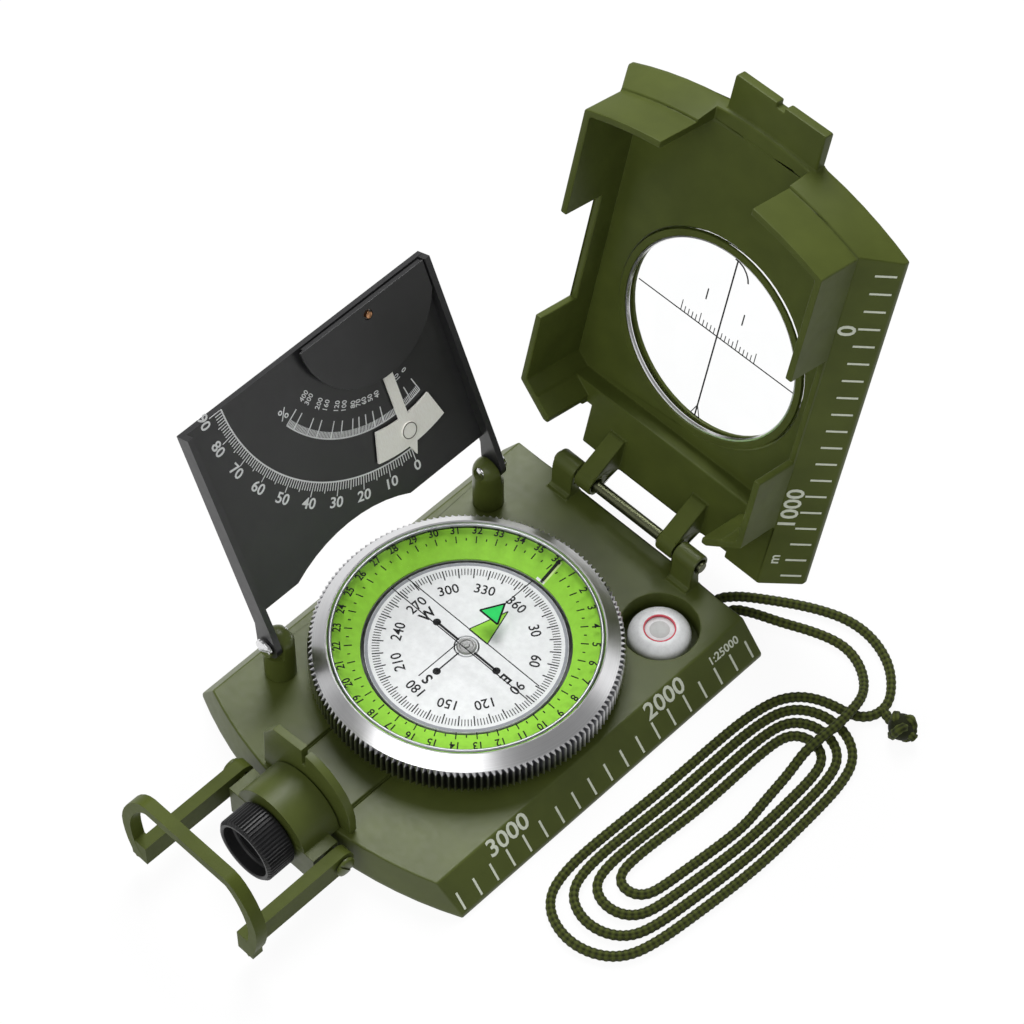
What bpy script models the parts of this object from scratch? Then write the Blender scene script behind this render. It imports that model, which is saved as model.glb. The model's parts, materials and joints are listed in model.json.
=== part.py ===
"""Folding geology compass.

A base with a turning bezel and a floating card, a folding clinometer with a pendulum, a prism
sight with a focusing eyepiece, a swinging thumb bail, a hinged lid with a sighting window, and a
braided lanyard. Sizes are in millimetres times MM, so the scene is in metres, with +Z up. The
origin is where the dial's axis meets the underside of the base; +Y points from the eyepiece to
the hinge and +X to the ruler side.
"""
from math import acos, asin, copysign, cos, hypot, pi, radians, sin

import bmesh
import bpy
from mathutils import Matrix, Vector

MM = 0.001
GAP = 0.3 * MM
FINE = 0.00001
INSET = 0.08 * MM

# Base plate, with a bevelled ruler edge on both long sides and a bowed front
BASE_TOP = 7.2 * MM
BASE_LAND = 1.1 * MM
BASE_LEFT = 31.8 * MM
BASE_RIGHT = 32.6 * MM
BASE_TOP_HALF_WIDTH = 27.7 * MM
BASE_BACK = 41.3 * MM
BASE_APEX = 40.9 * MM
BASE_TOP_APEX = 40.0 * MM
BOW_RADIUS = 78.0 * MM

# Compass well, capsule and card
WELL_RADIUS = 24.0 * MM
COLLAR_RADIUS = 25.4 * MM
COLLAR_TOP = 11.8 * MM
COVER_RADIUS = 26.5 * MM
COVER_THICKNESS = 1.2 * MM
CUP_RADIUS = 23.5 * MM
CUP_WALL = 1.0 * MM
CUP_TOP = 12.6 * MM
CARD_RADIUS = 17.8 * MM
CARD_BOTTOM = 12.1 * MM
CARD_THICKNESS = 0.5 * MM
HUB_RADIUS = 2.0 * MM
MAGNET_SIZE = (24.0 * MM, 5.6 * MM, 1.0 * MM)

# Turning bezel, green scale ring, crystal and rim
BEZEL_RADIUS = 27.7 * MM
BEZEL_BOTTOM = 9.4 * MM
BEZEL_SHOULDER = 13.8 * MM
BEZEL_TOP = 16.05 * MM
BEZEL_BORE = 24.1 * MM
BEZEL_SKIRT_RADIUS = 26.5 * MM
WEB_BOTTOM = 13.0 * MM
WEB_TOP = 14.45 * MM
WEB_RADIUS = 18.5 * MM
WEB_ROOT_RADIUS = 22.0 * MM
DIAL_DROP = 2.25 * MM
CRYSTAL_RADIUS = 23.7 * MM
RIM_INNER_RADIUS = 23.3 * MM
RIM_OUTER_RADIUS = 23.9 * MM
BEZEL_STEPS = 72

# Round bull's-eye level in the back corner
LEVEL_CENTRE = (18.5 * MM, 29.6 * MM)
LEVEL_WELL_RADIUS = 7.1 * MM
LEVEL_WELL_FLOOR = 2.0 * MM
LEVEL_RADIUS = 5.7 * MM
LEVEL_TOP = 6.6 * MM
LEVEL_LENS_RADIUS = 2.6 * MM

# Hinge between base and lid
HINGE_Y = 41.1 * MM
HINGE_Z = 12.5 * MM
PIN_RADIUS = 1.1 * MM
BARREL_RADIUS = 2.1 * MM
BARREL_BORE = 1.4 * MM
KNUCKLE_X = (12.2 * MM, 17.2 * MM)
LID_ARM_X = (8.1 * MM, 11.9 * MM)

# Lid, in its own frame: x across, y from the hinge to the free end, z into the closed box
LID_REST = radians(75.6)
LID_OUTER = -12.4 * MM
LID_LAND = 1.2 * MM
LID_FLANGE_TOP = -4.7 * MM
LID_FLOOR = -9.4 * MM
LID_BAND = -6.0 * MM
LID_BAND_END = 13.5 * MM
LID_RIM = 4.6 * MM
LID_WALL = 1.4 * MM
LID_LEFT = 30.8 * MM
LID_RIGHT = 31.8 * MM
LID_WALL_HALF_WIDTH = 26.6 * MM
LID_START = 0.6 * MM
LID_APEX = 82.1 * MM
LID_TOP_APEX = 80.9 * MM
LID_WALL_APEX = 80.4 * MM
LID_CORNER_X = 19.7 * MM
LID_CORNER_Y = (9.8 * MM, 14.6 * MM)
LID_FINGER_GAP = (30.0 * MM, 53.4 * MM)
LID_SIGHT_GAP = 10.2 * MM
LID_TAB_X = (-8.7 * MM, 11.1 * MM)
LID_TAB_END = 88.4 * MM
LID_NOTCH = 0.9 * MM
LID_TAB_TOP = -10.2 * MM
WINDOW_X = 0.7 * MM
WINDOW_Y = 36.9 * MM
WINDOW_RADIUS = 19.4 * MM
WINDOW_SEAT_RADIUS = 21.0 * MM

# Clinometer, in its own frame: x to its front, y along its axis, z up its face
POST_RADIUS = 2.85 * MM
POST_X = -22.4 * MM
POST_Y = (-23.6 * MM, 27.9 * MM)
POST_DOME_Z = 16.2 * MM
POST_FLAT_Z = 13.8 * MM
CLINO_AXIS_Z = 17.2 * MM
CLINO_LEAN = radians(22.5)
PANEL_Y = (-26.2 * MM, 29.9 * MM)
PANEL_Z = (6.9 * MM, 46.6 * MM)
PANEL_BACK = -0.85 * MM
PANEL_FRONT = 0.45 * MM
BAY_MIDDLE = -2.6 * MM
BAY_HALF = 13.6 * MM
BAY_RISE = 3.5 * MM
FLANGE_FRONT = (2.8 * MM, 2.2 * MM)
FLANGE_THICKNESS = 1.2 * MM
ARM_END_RADIUS = 2.6 * MM
SCREW_RADIUS = 0.9 * MM
SCREW_HOLE = 1.2 * MM
SCREW_HEAD_RADIUS = 1.9 * MM
SCREW_HEAD = 0.8 * MM
SCREW_HEAD_GAP = 0.35 * MM
SHIELD_RADIUS = 15.0 * MM
SHIELD_FACE = (1.55 * MM, 2.05 * MM)
PENDULUM_Y = 14.6 * MM
PENDULUM_Z = 44.4 * MM
PENDULUM_PLATE = (0.75 * MM, 1.25 * MM)
PENDULUM_EYE = 1.35 * MM
PENDULUM_BAR = 1.0 * MM
PENDULUM_SECTOR = (22.6 * MM, 28.6 * MM)
PENDULUM_HALF_ANGLE = radians(16.0)
PENDULUM_TIP = 31.0 * MM
PENDULUM_TIP_HALF = 0.9 * MM
PENDULUM_PIN_RADIUS = 0.65 * MM

# Prism housing, sight leaf and eyepiece
HOUSING_HALF_WIDTH = 10.4 * MM
HOUSING_Y = (-47.0 * MM, -41.3 * MM)
HOUSING_Z = (1.0 * MM, 8.4 * MM)
ARCH_RADIUS = 8.3 * MM
ARCH_CENTRE_Z = 7.0 * MM
ARCH_BACK = -38.9 * MM
SIGHT_Y = (-38.6 * MM, -37.0 * MM)
SIGHT_HALF_WIDTH = 10.6 * MM
SIGHT_TOP = 21.6 * MM
SIGHT_SLIT = (-0.6 * MM, 0.2 * MM)
SIGHT_SLIT_BOTTOM = 17.4 * MM
EYEPIECE_Z = 6.9 * MM
EYEPIECE_BORE = 5.2 * MM
EYEPIECE_RADIUS = 6.4 * MM
EYEPIECE_LENGTH = 6.4 * MM
EYEPIECE_TUBE_RADIUS = 4.8 * MM
EYEPIECE_TUBE_LENGTH = 2.4 * MM
EYEPIECE_INNER_RADIUS = 4.0 * MM

# Thumb bail: two flat arms and a stirrup at their ends, in a frame on its pivot
BAIL_Y = -43.1 * MM
BAIL_Z = 6.5 * MM
BAIL_ARM_X = (11.2 * MM, 13.5 * MM)
BAIL_ARM_RADIUS = 2.5 * MM
BAIL_LOOP_Y = (-22.4 * MM, -20.0 * MM)
BAIL_STRIP = 2.0 * MM
BAIL_CROSSBAR = 9.6 * MM
BAIL_BULGE = 5.9 * MM
BAIL_WAIST_Z = 6.8 * MM
BAIL_RISE = 9.9 * MM
BAIL_DROP = 11.0 * MM
BAIL_CORNER = 1.25
BAIL_FOOT_ANGLE = -54

# Lanyard: two strands from an anchor behind the base, a hank of loops and a knotted tail
CORD_RADIUS = 0.9 * MM
CORD_LIE = 0.95 * MM
ANCHOR_X = (17.2 * MM, 24.4 * MM)
ANCHOR_Y = (41.6 * MM, 42.6 * MM)
ANCHOR_Z = (0.5 * MM, 3.3 * MM)
HANK_CENTRE_X = 51.1 * MM
HANK_TURNS = 3.75
HANK_POINTS_PER_LOOP = 24
HANK_HALF_WIDTH = 12.3 * MM
HANK_WIDTH_STEP = 2.4 * MM
HANK_NEAR_END = -26.8 * MM
HANK_NEAR_LEAN = 1.7 * MM
HANK_NEAR_STEP = 4.6 * MM
HANK_FAR_END = 42.2 * MM
HANK_FAR_STEP = 2.8 * MM
HANK_FULLNESS = 4.0
KNOT_CENTRE = (61.1 * MM, 46.0 * MM)
KNOT_RADIUS = 2.7 * MM

OLIVE = (0.085, 0.098, 0.040)
DARK_OLIVE = (0.050, 0.064, 0.014)
BLACK = (0.012, 0.012, 0.013)
SILVER = (0.62, 0.62, 0.63)
WHITE = (0.82, 0.82, 0.80)
GREEN = (0.24, 0.62, 0.03)
GLASS = (0.86, 0.92, 0.92)
COPPER = (0.52, 0.27, 0.14)
CORD_GREEN = (0.030, 0.040, 0.014)


def clear_scene():
    for old in list(bpy.data.objects):
        bpy.data.objects.remove(old, do_unlink=True)


def new_collection(name):
    collection = bpy.data.collections.new(name)
    bpy.context.scene.collection.children.link(collection)
    return collection


def axis_empty(name, location, rotation=(0.0, 0.0, 0.0), parent=None):
    empty = bpy.data.objects.new(name, None)
    empty.location = location
    empty.rotation_euler = rotation
    empty.empty_display_size = 5 * MM
    empty.parent = parent
    CUTTERS.objects.link(empty)
    return empty


def add_object(name, data, parent):
    obj = bpy.data.objects.new(name, data)
    obj.parent = parent
    PARTS.objects.link(obj)
    return obj


def paint(obj, color, roughness, metallic=0.0):
    material = bpy.data.materials.new(obj.name + "_finish")
    material.use_nodes = True
    shader = material.node_tree.nodes["Principled BSDF"]
    shader.inputs["Base Color"].default_value = (*color, 1.0)
    shader.inputs["Roughness"].default_value = roughness
    shader.inputs["Metallic"].default_value = metallic
    obj.data.materials.clear()
    obj.data.materials.append(material)
    return obj


def smooth(obj, angle=radians(35)):
    obj.data.shade_smooth()
    obj.data.set_sharp_from_angle(angle=angle)
    return obj


def box(name, low, high, parent=None):
    size = Vector(high) - Vector(low)
    centre = (Vector(high) + Vector(low)) / 2
    work = bmesh.new()
    bmesh.ops.create_cube(work, size=1.0, matrix=Matrix.Translation(centre) @ Matrix.Diagonal((*size, 1.0)))
    mesh = bpy.data.meshes.new(name)
    work.to_mesh(mesh)
    work.free()
    return add_object(name, mesh, parent)


def rod(name, radius, start, end, parent=None, segments=32):
    """A round bar between two points."""
    along = Vector(end) - Vector(start)
    turn = Vector((0, 0, 1)).rotation_difference(along).to_matrix().to_4x4()
    place = Matrix.Translation((Vector(end) + Vector(start)) / 2) @ turn
    work = bmesh.new()
    bmesh.ops.create_cone(work, cap_ends=True, segments=segments, radius1=radius, radius2=radius,
                          depth=along.length, matrix=place)
    mesh = bpy.data.meshes.new(name)
    work.to_mesh(mesh)
    work.free()
    return add_object(name, mesh, parent)


def turned(name, profile, parent=None, steps=32, closed=False, location=(0, 0, 0), rotation=(0, 0, 0)):
    """A (radius, height) profile, listed from top to bottom on its outer side, turned about Z."""
    mesh = bpy.data.meshes.new(name)
    edges = [(i, i + 1) for i in range(len(profile) - 1)]
    if closed:
        edges.append((len(profile) - 1, 0))
    mesh.from_pydata([(radius, 0.0, height) for radius, height in profile], edges, [])
    obj = add_object(name, mesh, parent)
    obj.location = location
    obj.rotation_euler = rotation
    screw = obj.modifiers.new("turn", "SCREW")
    screw.axis = "Z"
    screw.angle = 2 * pi
    screw.steps = steps
    screw.render_steps = steps
    screw.use_merge_vertices = True
    screw.merge_threshold = FINE
    return obj


def ring(name, inner, outer, bottom, top, parent=None, steps=48):
    profile = [(inner, top), (outer, top), (outer, bottom), (inner, bottom)]
    return turned(name, profile, parent, steps, closed=True)


SLAB_PLANES = {
    "XY": Matrix.Identity(4),
    "YZ": Matrix(((0, 0, 1, 0), (1, 0, 0, 0), (0, 1, 0, 0), (0, 0, 0, 1))),
    "XZ": Matrix(((1, 0, 0, 0), (0, 0, -1, 0), (0, 1, 0, 0), (0, 0, 0, 1))),
}


def slab(name, outlines, low, high, plane="XY", parent=None):
    """Flat outlines in a plane, the first solid and the rest holes, between two heights across it."""
    curve = bpy.data.curves.new(name, "CURVE")
    curve.dimensions = "2D"
    curve.fill_mode = "BOTH"
    curve.extrude = (high - low) / 2
    for outline in outlines:
        spline = curve.splines.new("POLY")
        spline.points.add(len(outline) - 1)
        for point, (a, b) in zip(spline.points, outline):
            point.co = (a, b, 0.0, 1.0)
        spline.use_cyclic_u = True
    source = add_object(name + "_outline", curve, None)
    bpy.context.view_layer.update()
    mesh = bpy.data.meshes.new_from_object(source.evaluated_get(bpy.context.evaluated_depsgraph_get()))
    bpy.data.objects.remove(source)
    middle = (high + low) / 2
    lift = -middle if plane == "XZ" else middle
    mesh.transform(SLAB_PLANES[plane] @ Matrix.Translation((0, 0, lift)))
    work = bmesh.new()
    work.from_mesh(mesh)
    bmesh.ops.remove_doubles(work, verts=work.verts, dist=FINE / 10)
    bmesh.ops.recalc_face_normals(work, faces=work.faces)
    work.to_mesh(mesh)
    work.free()
    mesh.name = name
    return add_object(name, mesh, parent)


def stepped_slab(name, sections, parent=None):
    """A face extruded upwards through (outline, height) sections of equal point counts."""
    work = bmesh.new()
    first, height = sections[0]
    face = work.faces.new([work.verts.new((x, y, height)) for x, y in first])
    face.normal_update()
    if face.normal.z > 0:
        face.normal_flip()
    layer = {i: vert for i, vert in enumerate(work.verts)}
    for outline, height in sections[1:]:
        order = {vert: i for i, vert in layer.items()}
        under = face
        made = bmesh.ops.extrude_face_region(work, geom=[under])["geom"]
        face = next(item for item in made if isinstance(item, bmesh.types.BMFace))
        if height != sections[1][1] and under.is_valid:
            bmesh.ops.delete(work, geom=[under], context="FACES_ONLY")
        below = {}
        for edge in work.edges:
            a, b = edge.verts
            if a in order and b not in order:
                below[order[a]] = b
            if b in order and a not in order:
                below[order[b]] = a
        layer = below
        for i, (x, y) in enumerate(outline):
            layer[i].co = (x, y, height)
    bmesh.ops.recalc_face_normals(work, faces=work.faces)
    mesh = bpy.data.meshes.new(name)
    work.to_mesh(mesh)
    work.free()
    return add_object(name, mesh, parent)


def combine(target, tool, operation):
    tool.hide_render = True
    tool.display_type = "WIRE"
    PARTS.objects.unlink(tool)
    CUTTERS.objects.link(tool)
    boolean = target.modifiers.new(tool.name, "BOOLEAN")
    boolean.object = tool
    boolean.operation = operation
    boolean.solver = "EXACT"


def cut(target, *tools):
    for tool in tools:
        combine(target, tool, "DIFFERENCE")


def join(target, *tools):
    for tool in tools:
        combine(target, tool, "UNION")


def arc(centre, radius, start, end, count):
    steps = [start + (end - start) * i / count for i in range(count + 1)]
    return [(centre[0] + radius * cos(a), centre[1] + radius * sin(a)) for a in steps]


def bowed_outline(left, right, apex, straight_end, sign, count=16):
    """A plan with one straight end and one bowed end; sign is the side of y that the bow is on."""
    start = asin(right / BOW_RADIUS)
    end = -asin(left / BOW_RADIUS)
    bow = []
    for i in range(count + 1):
        angle = start + (end - start) * i / count
        bow.append((BOW_RADIUS * sin(angle), sign * (apex - BOW_RADIUS * (1 - cos(angle)))))
    return bow + [(-left, straight_end), (right, straight_end)]


def mirror_points(points):
    return points + [(-x, y) for x, y in reversed(points)]


def screw_between(name, start, end, parent=None):
    """A screw whose head stands outside start and whose shank runs to end."""
    along = (Vector(end) - Vector(start)).normalized()
    shank = rod(name, SCREW_RADIUS, Vector(start) - along * SCREW_HEAD / 2, end, parent, 16)
    head = rod(name + "_head", SCREW_HEAD_RADIUS, Vector(start) - along * SCREW_HEAD, start, parent, 20)
    join(shank, head)
    return paint(smooth(shank), SILVER, 0.25, 1.0)


def make_base():
    outline = bowed_outline(BASE_LEFT, BASE_RIGHT, BASE_APEX, BASE_BACK, -1)
    top = bowed_outline(BASE_TOP_HALF_WIDTH, BASE_TOP_HALF_WIDTH, BASE_TOP_APEX, BASE_BACK, -1)
    sections = [(outline, 0.0), (outline, BASE_LAND), (top, BASE_TOP)]
    base = stepped_slab("base_body", sections)
    join(base, rod("collar", COLLAR_RADIUS, (0, 0, BASE_TOP - MM), (0, 0, COLLAR_TOP), segments=64))
    back_of_foot = BASE_BACK - 0.05 * MM
    foot = [
        (37.7 * MM, BASE_TOP - 0.7 * MM), (back_of_foot, BASE_TOP - 0.7 * MM),
        (HINGE_Y + 0.1 * MM, HINGE_Z), (HINGE_Y - BARREL_RADIUS + 0.05 * MM, HINGE_Z + 0.4 * MM),
        (38.6 * MM, BASE_TOP + 0.9 * MM), (37.7 * MM, BASE_TOP + 0.8 * MM),
    ]
    for side, name in ((-1, "left"), (1, "right")):
        low, high = sorted((side * KNUCKLE_X[0], side * KNUCKLE_X[1]))
        join(base, slab("knuckle_foot_" + name, [foot], low + INSET, high - INSET, "YZ"))
        join(base, rod("knuckle_barrel_" + name, BARREL_RADIUS, (low, HINGE_Y, HINGE_Z),
                       (high, HINGE_Y, HINGE_Z), segments=24))
    reach = KNUCKLE_X[1] + 5 * MM
    cut(base, rod("pin_bore", BARREL_BORE, (-reach, HINGE_Y, HINGE_Z), (reach, HINGE_Y, HINGE_Z),
                  segments=16))
    cut(base, rod("well", WELL_RADIUS, (0, 0, -MM), (0, 0, COLLAR_TOP + MM), segments=64))
    seat_top = COVER_THICKNESS + GAP
    cut(base, rod("cover_seat", COVER_RADIUS + GAP, (0, 0, -MM), (0, 0, seat_top), segments=64))
    cut(base, rod("level_well", LEVEL_WELL_RADIUS, (*LEVEL_CENTRE, LEVEL_WELL_FLOOR),
                  (*LEVEL_CENTRE, BASE_TOP + MM), segments=40))
    for post_y, name in zip(POST_Y, ("front", "rear")):
        cut(base, rod("post_hole_" + name, 1.8 * MM, (POST_X, post_y, 4.0 * MM),
                      (POST_X, post_y, BASE_TOP + MM), segments=16))
    paint(base, OLIVE, 0.5)
    cover = rod("bottom_cover", COVER_RADIUS, (0, 0, 0), (0, 0, COVER_THICKNESS), segments=64)
    paint(cover, DARK_OLIVE, 0.55)
    pin_reach = KNUCKLE_X[1] + 0.6 * MM
    pin = rod("hinge_pin", PIN_RADIUS, (-pin_reach, HINGE_Y, HINGE_Z), (pin_reach, HINGE_Y, HINGE_Z),
              segments=16)
    paint(smooth(pin), SILVER, 0.35, 1.0)


def make_capsule():
    floor = COVER_THICKNESS + 2 * GAP
    inner = CUP_RADIUS - CUP_WALL
    cup = [
        (0, floor + CUP_WALL), (inner, floor + CUP_WALL), (inner, CUP_TOP), (CUP_RADIUS, CUP_TOP),
        (CUP_RADIUS, floor), (0, floor),
    ]
    paint(smooth(turned("capsule_cup", cup, steps=48)), WHITE, 0.5)
    foot = floor + CUP_WALL + GAP
    tip = CARD_BOTTOM - 0.6 * MM
    needle = [
        (0, tip), (0.25 * MM, tip - 0.5 * MM), (0.6 * MM, tip - 2.5 * MM), (0.6 * MM, foot + 1.2 * MM),
        (1.8 * MM, foot + 0.8 * MM), (1.8 * MM, foot), (0, foot),
    ]
    paint(smooth(turned("pivot_needle", needle, steps=16)), SILVER, 0.3, 1.0)
    spring_inner = COLLAR_RADIUS + GAP
    spring = ring("bezel_spring_ring", spring_inner, BEZEL_SKIRT_RADIUS - GAP, 10.4 * MM, 11.0 * MM)
    paint(smooth(spring), SILVER, 0.35, 1.0)


def make_card(axis):
    card_top = CARD_BOTTOM + CARD_THICKNESS
    card = ring("compass_card", HUB_RADIUS + GAP, CARD_RADIUS, CARD_BOTTOM, card_top, axis, 64)
    paint(card, WHITE, 0.45)
    hub_bottom = CARD_BOTTOM - 1.0 * MM
    hub_top = card_top + 0.5 * MM
    hub = [
        (0, hub_top), (HUB_RADIUS * 0.8, hub_top), (HUB_RADIUS, hub_top - 0.3 * MM),
        (HUB_RADIUS, hub_bottom), (1.3 * MM, hub_bottom), (0, hub_bottom + 0.8 * MM),
    ]
    paint(smooth(turned("jewel_cap", hub, axis, steps=20)), SILVER, 0.25, 1.0)
    length, width, height = MAGNET_SIZE
    top = CARD_BOTTOM - GAP
    magnet = box("magnet_bar", (-width / 2, -length / 2, top - height), (width / 2, length / 2, top), axis)
    cut(magnet, rod("magnet_hole", HUB_RADIUS + GAP, (0, 0, top - 2 * height), (0, 0, top + height),
                    axis, 20))
    paint(magnet, SILVER, 0.4, 1.0)


def make_bezel(axis):
    section = [
        (BEZEL_BORE, BEZEL_TOP), (24.4 * MM, BEZEL_TOP + 0.4 * MM), (27.2 * MM, BEZEL_SHOULDER + 0.4 * MM),
        (BEZEL_RADIUS, BEZEL_SHOULDER), (BEZEL_RADIUS, BEZEL_BOTTOM + GAP), (27.4 * MM, BEZEL_BOTTOM),
        (BEZEL_SKIRT_RADIUS, BEZEL_BOTTOM), (BEZEL_SKIRT_RADIUS, WEB_BOTTOM), (WEB_ROOT_RADIUS, WEB_BOTTOM),
        (WEB_RADIUS, WEB_BOTTOM - 0.75 * DIAL_DROP), (WEB_RADIUS, WEB_TOP - DIAL_DROP), (BEZEL_BORE, WEB_TOP),
    ]
    paint(smooth(turned("bezel_ring", section, axis, BEZEL_STEPS, closed=True)), SILVER, 0.3, 1.0)
    green_bottom = WEB_TOP + GAP
    green_top = green_bottom + 0.4 * MM
    funnel = [
        (WEB_RADIUS, green_top - DIAL_DROP), (CRYSTAL_RADIUS, green_top), (CRYSTAL_RADIUS, green_bottom),
        (WEB_RADIUS, green_bottom - DIAL_DROP),
    ]
    paint(smooth(turned("scale_ring", funnel, axis, 64, closed=True)), GREEN, 0.45)
    crystal_bottom = green_top + GAP
    crystal = rod("crystal", CRYSTAL_RADIUS, (0, 0, crystal_bottom), (0, 0, BEZEL_TOP), axis, 64)
    paint(crystal, GLASS, 0.02)
    rim_bottom = BEZEL_TOP + GAP
    rim_top = rim_bottom + 0.4 * MM
    rim = ring("crystal_rim", RIM_INNER_RADIUS, RIM_OUTER_RADIUS, rim_bottom, rim_top, axis, 64)
    paint(smooth(rim), SILVER, 0.15, 1.0)


def make_level():
    place = (*LEVEL_CENTRE, 0.0)
    floor = LEVEL_WELL_FLOOR + GAP
    pocket = LEVEL_LENS_RADIUS + GAP
    vial = [
        (0, LEVEL_TOP - 1.2 * MM), (pocket, LEVEL_TOP - 1.2 * MM), (pocket, LEVEL_TOP),
        (LEVEL_RADIUS - 1.5 * MM, LEVEL_TOP - 0.4 * MM), (LEVEL_RADIUS - 0.5 * MM, LEVEL_TOP - 1.1 * MM),
        (LEVEL_RADIUS, LEVEL_TOP - 2.0 * MM), (LEVEL_RADIUS, floor), (0, floor),
    ]
    paint(smooth(turned("level_vial", vial, steps=40, location=place)), WHITE, 0.35)
    lens_bottom = LEVEL_TOP - 1.2 * MM + GAP
    lens = [
        (0, LEVEL_TOP + 0.3 * MM), (LEVEL_LENS_RADIUS * 0.6, LEVEL_TOP + 0.2 * MM),
        (LEVEL_LENS_RADIUS, LEVEL_TOP - 0.1 * MM), (LEVEL_LENS_RADIUS, lens_bottom), (0, lens_bottom),
    ]
    paint(smooth(turned("level_lens", lens, steps=24, location=place)), GLASS, 0.05)


def lid_wall_outline(half_width, apex, corner_x, corner_y):
    bow = bowed_outline(half_width, half_width, apex, 0.0, 1)[:-2]
    return bow + [(-half_width, corner_y[1]), (-corner_x, corner_y[0]),
                  (corner_x, corner_y[0]), (half_width, corner_y[1])]


def make_lid(axis):
    flange = bowed_outline(LID_LEFT, LID_RIGHT, LID_APEX, LID_START, 1)
    shoulder = bowed_outline(LID_WALL_HALF_WIDTH, LID_WALL_HALF_WIDTH, LID_TOP_APEX, LID_START, 1)
    sections = [(flange, LID_OUTER), (flange, LID_OUTER + LID_LAND), (shoulder, LID_FLANGE_TOP)]
    shell = stepped_slab("lid_shell", sections, axis)
    walls = lid_wall_outline(LID_WALL_HALF_WIDTH - 0.05 * MM, LID_WALL_APEX, LID_CORNER_X, LID_CORNER_Y)
    join(shell, slab("lid_walls", [walls], LID_FLANGE_TOP - MM, LID_RIM, parent=axis))
    above = LID_RIM + 2 * MM
    inner_half = LID_WALL_HALF_WIDTH - LID_WALL
    pocket_corner = (22.6 * MM, 15.4 * MM)
    pocket = bowed_outline(inner_half, inner_half, LID_WALL_APEX - LID_WALL, 0.0, 1)[:-2]
    pocket += [(-inner_half, pocket_corner[1]), (-pocket_corner[0], LID_BAND_END),
               (pocket_corner[0], LID_BAND_END), (inner_half, pocket_corner[1])]
    cut(shell, slab("lid_pocket", [pocket], LID_FLOOR, above, parent=axis))
    mouth = mirror_points([(18.6 * MM, -3 * MM), (18.6 * MM, 11.0 * MM), (23.4 * MM, 14.4 * MM)])
    cut(shell, slab("lid_mouth", [mouth], LID_BAND, above, parent=axis))
    cut(shell, box("lid_corner_cut", (-40 * MM, -3 * MM, -20 * MM), (-17.5 * MM, 9.3 * MM, above), axis))
    low, high = LID_FINGER_GAP
    cut(shell, box("finger_gap", (-40 * MM, low, LID_FLANGE_TOP + 0.1 * MM), (40 * MM, high, above), axis))
    cut(shell, box("sight_gap", (-LID_SIGHT_GAP, 70 * MM, LID_FLOOR + 0.1 * MM),
                   (LID_SIGHT_GAP, 95 * MM, above), axis))
    left, right = LID_TAB_X
    notch_left = (left + right) / 2 - LID_NOTCH
    notch_right = (left + right) / 2 + LID_NOTCH
    notch_y = LID_TAB_END - MM
    tab = [
        (left, 77 * MM), (right, 77 * MM), (right, LID_TAB_END), (notch_right, LID_TAB_END),
        (notch_right, notch_y), (notch_left, notch_y), (notch_left, LID_TAB_END), (left, LID_TAB_END),
    ]
    join(shell, slab("sight_tab", [tab], LID_OUTER + 0.1 * MM, LID_TAB_TOP, parent=axis))
    strut = [
        (-1.3 * MM, 1.5 * MM), (-1.95 * MM, -0.5 * MM), (1.2 * MM, LID_BAND - MM),
        (7.6 * MM, LID_BAND - MM), (7.6 * MM, LID_BAND + 0.8 * MM), (1.0 * MM, 1.7 * MM),
    ]
    for side, name in ((-1, "left"), (1, "right")):
        low, high = sorted((side * LID_ARM_X[0], side * LID_ARM_X[1]))
        join(shell, slab("lid_strut_" + name, [strut], low + INSET, high - INSET, "YZ", axis))
        join(shell, rod("lid_barrel_" + name, BARREL_RADIUS, (low, 0, 0), (high, 0, 0), axis, 24))
    cut(shell, rod("lid_pin_bore", BARREL_BORE, (-20 * MM, 0, 0), (20 * MM, 0, 0), axis, 16))
    lip = LID_OUTER + 1.0 * MM
    window = (WINDOW_X, WINDOW_Y)
    hole_radius = WINDOW_RADIUS - 0.2 * MM
    cut(shell, rod("window_hole", hole_radius, (*window, LID_OUTER - MM), (*window, 0), axis, 64))
    cut(shell, rod("window_seat", WINDOW_SEAT_RADIUS, (*window, lip), (*window, above), axis, 64))
    paint(shell, OLIVE, 0.5)
    glass_radius = WINDOW_SEAT_RADIUS - GAP
    glass_top = lip + GAP + 1.2 * MM
    glass = rod("window_glass", glass_radius, (*window, lip + GAP), (*window, glass_top), axis, 64)
    paint(glass, GLASS, 0.02)
    ring_top = LID_FLOOR + 0.4 * MM
    bezel = ring("window_ring", WINDOW_RADIUS, glass_radius, glass_top + GAP, ring_top, axis, 64)
    bezel.location = (*window, 0)
    paint(smooth(bezel), SILVER, 0.3, 1.0)


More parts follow.
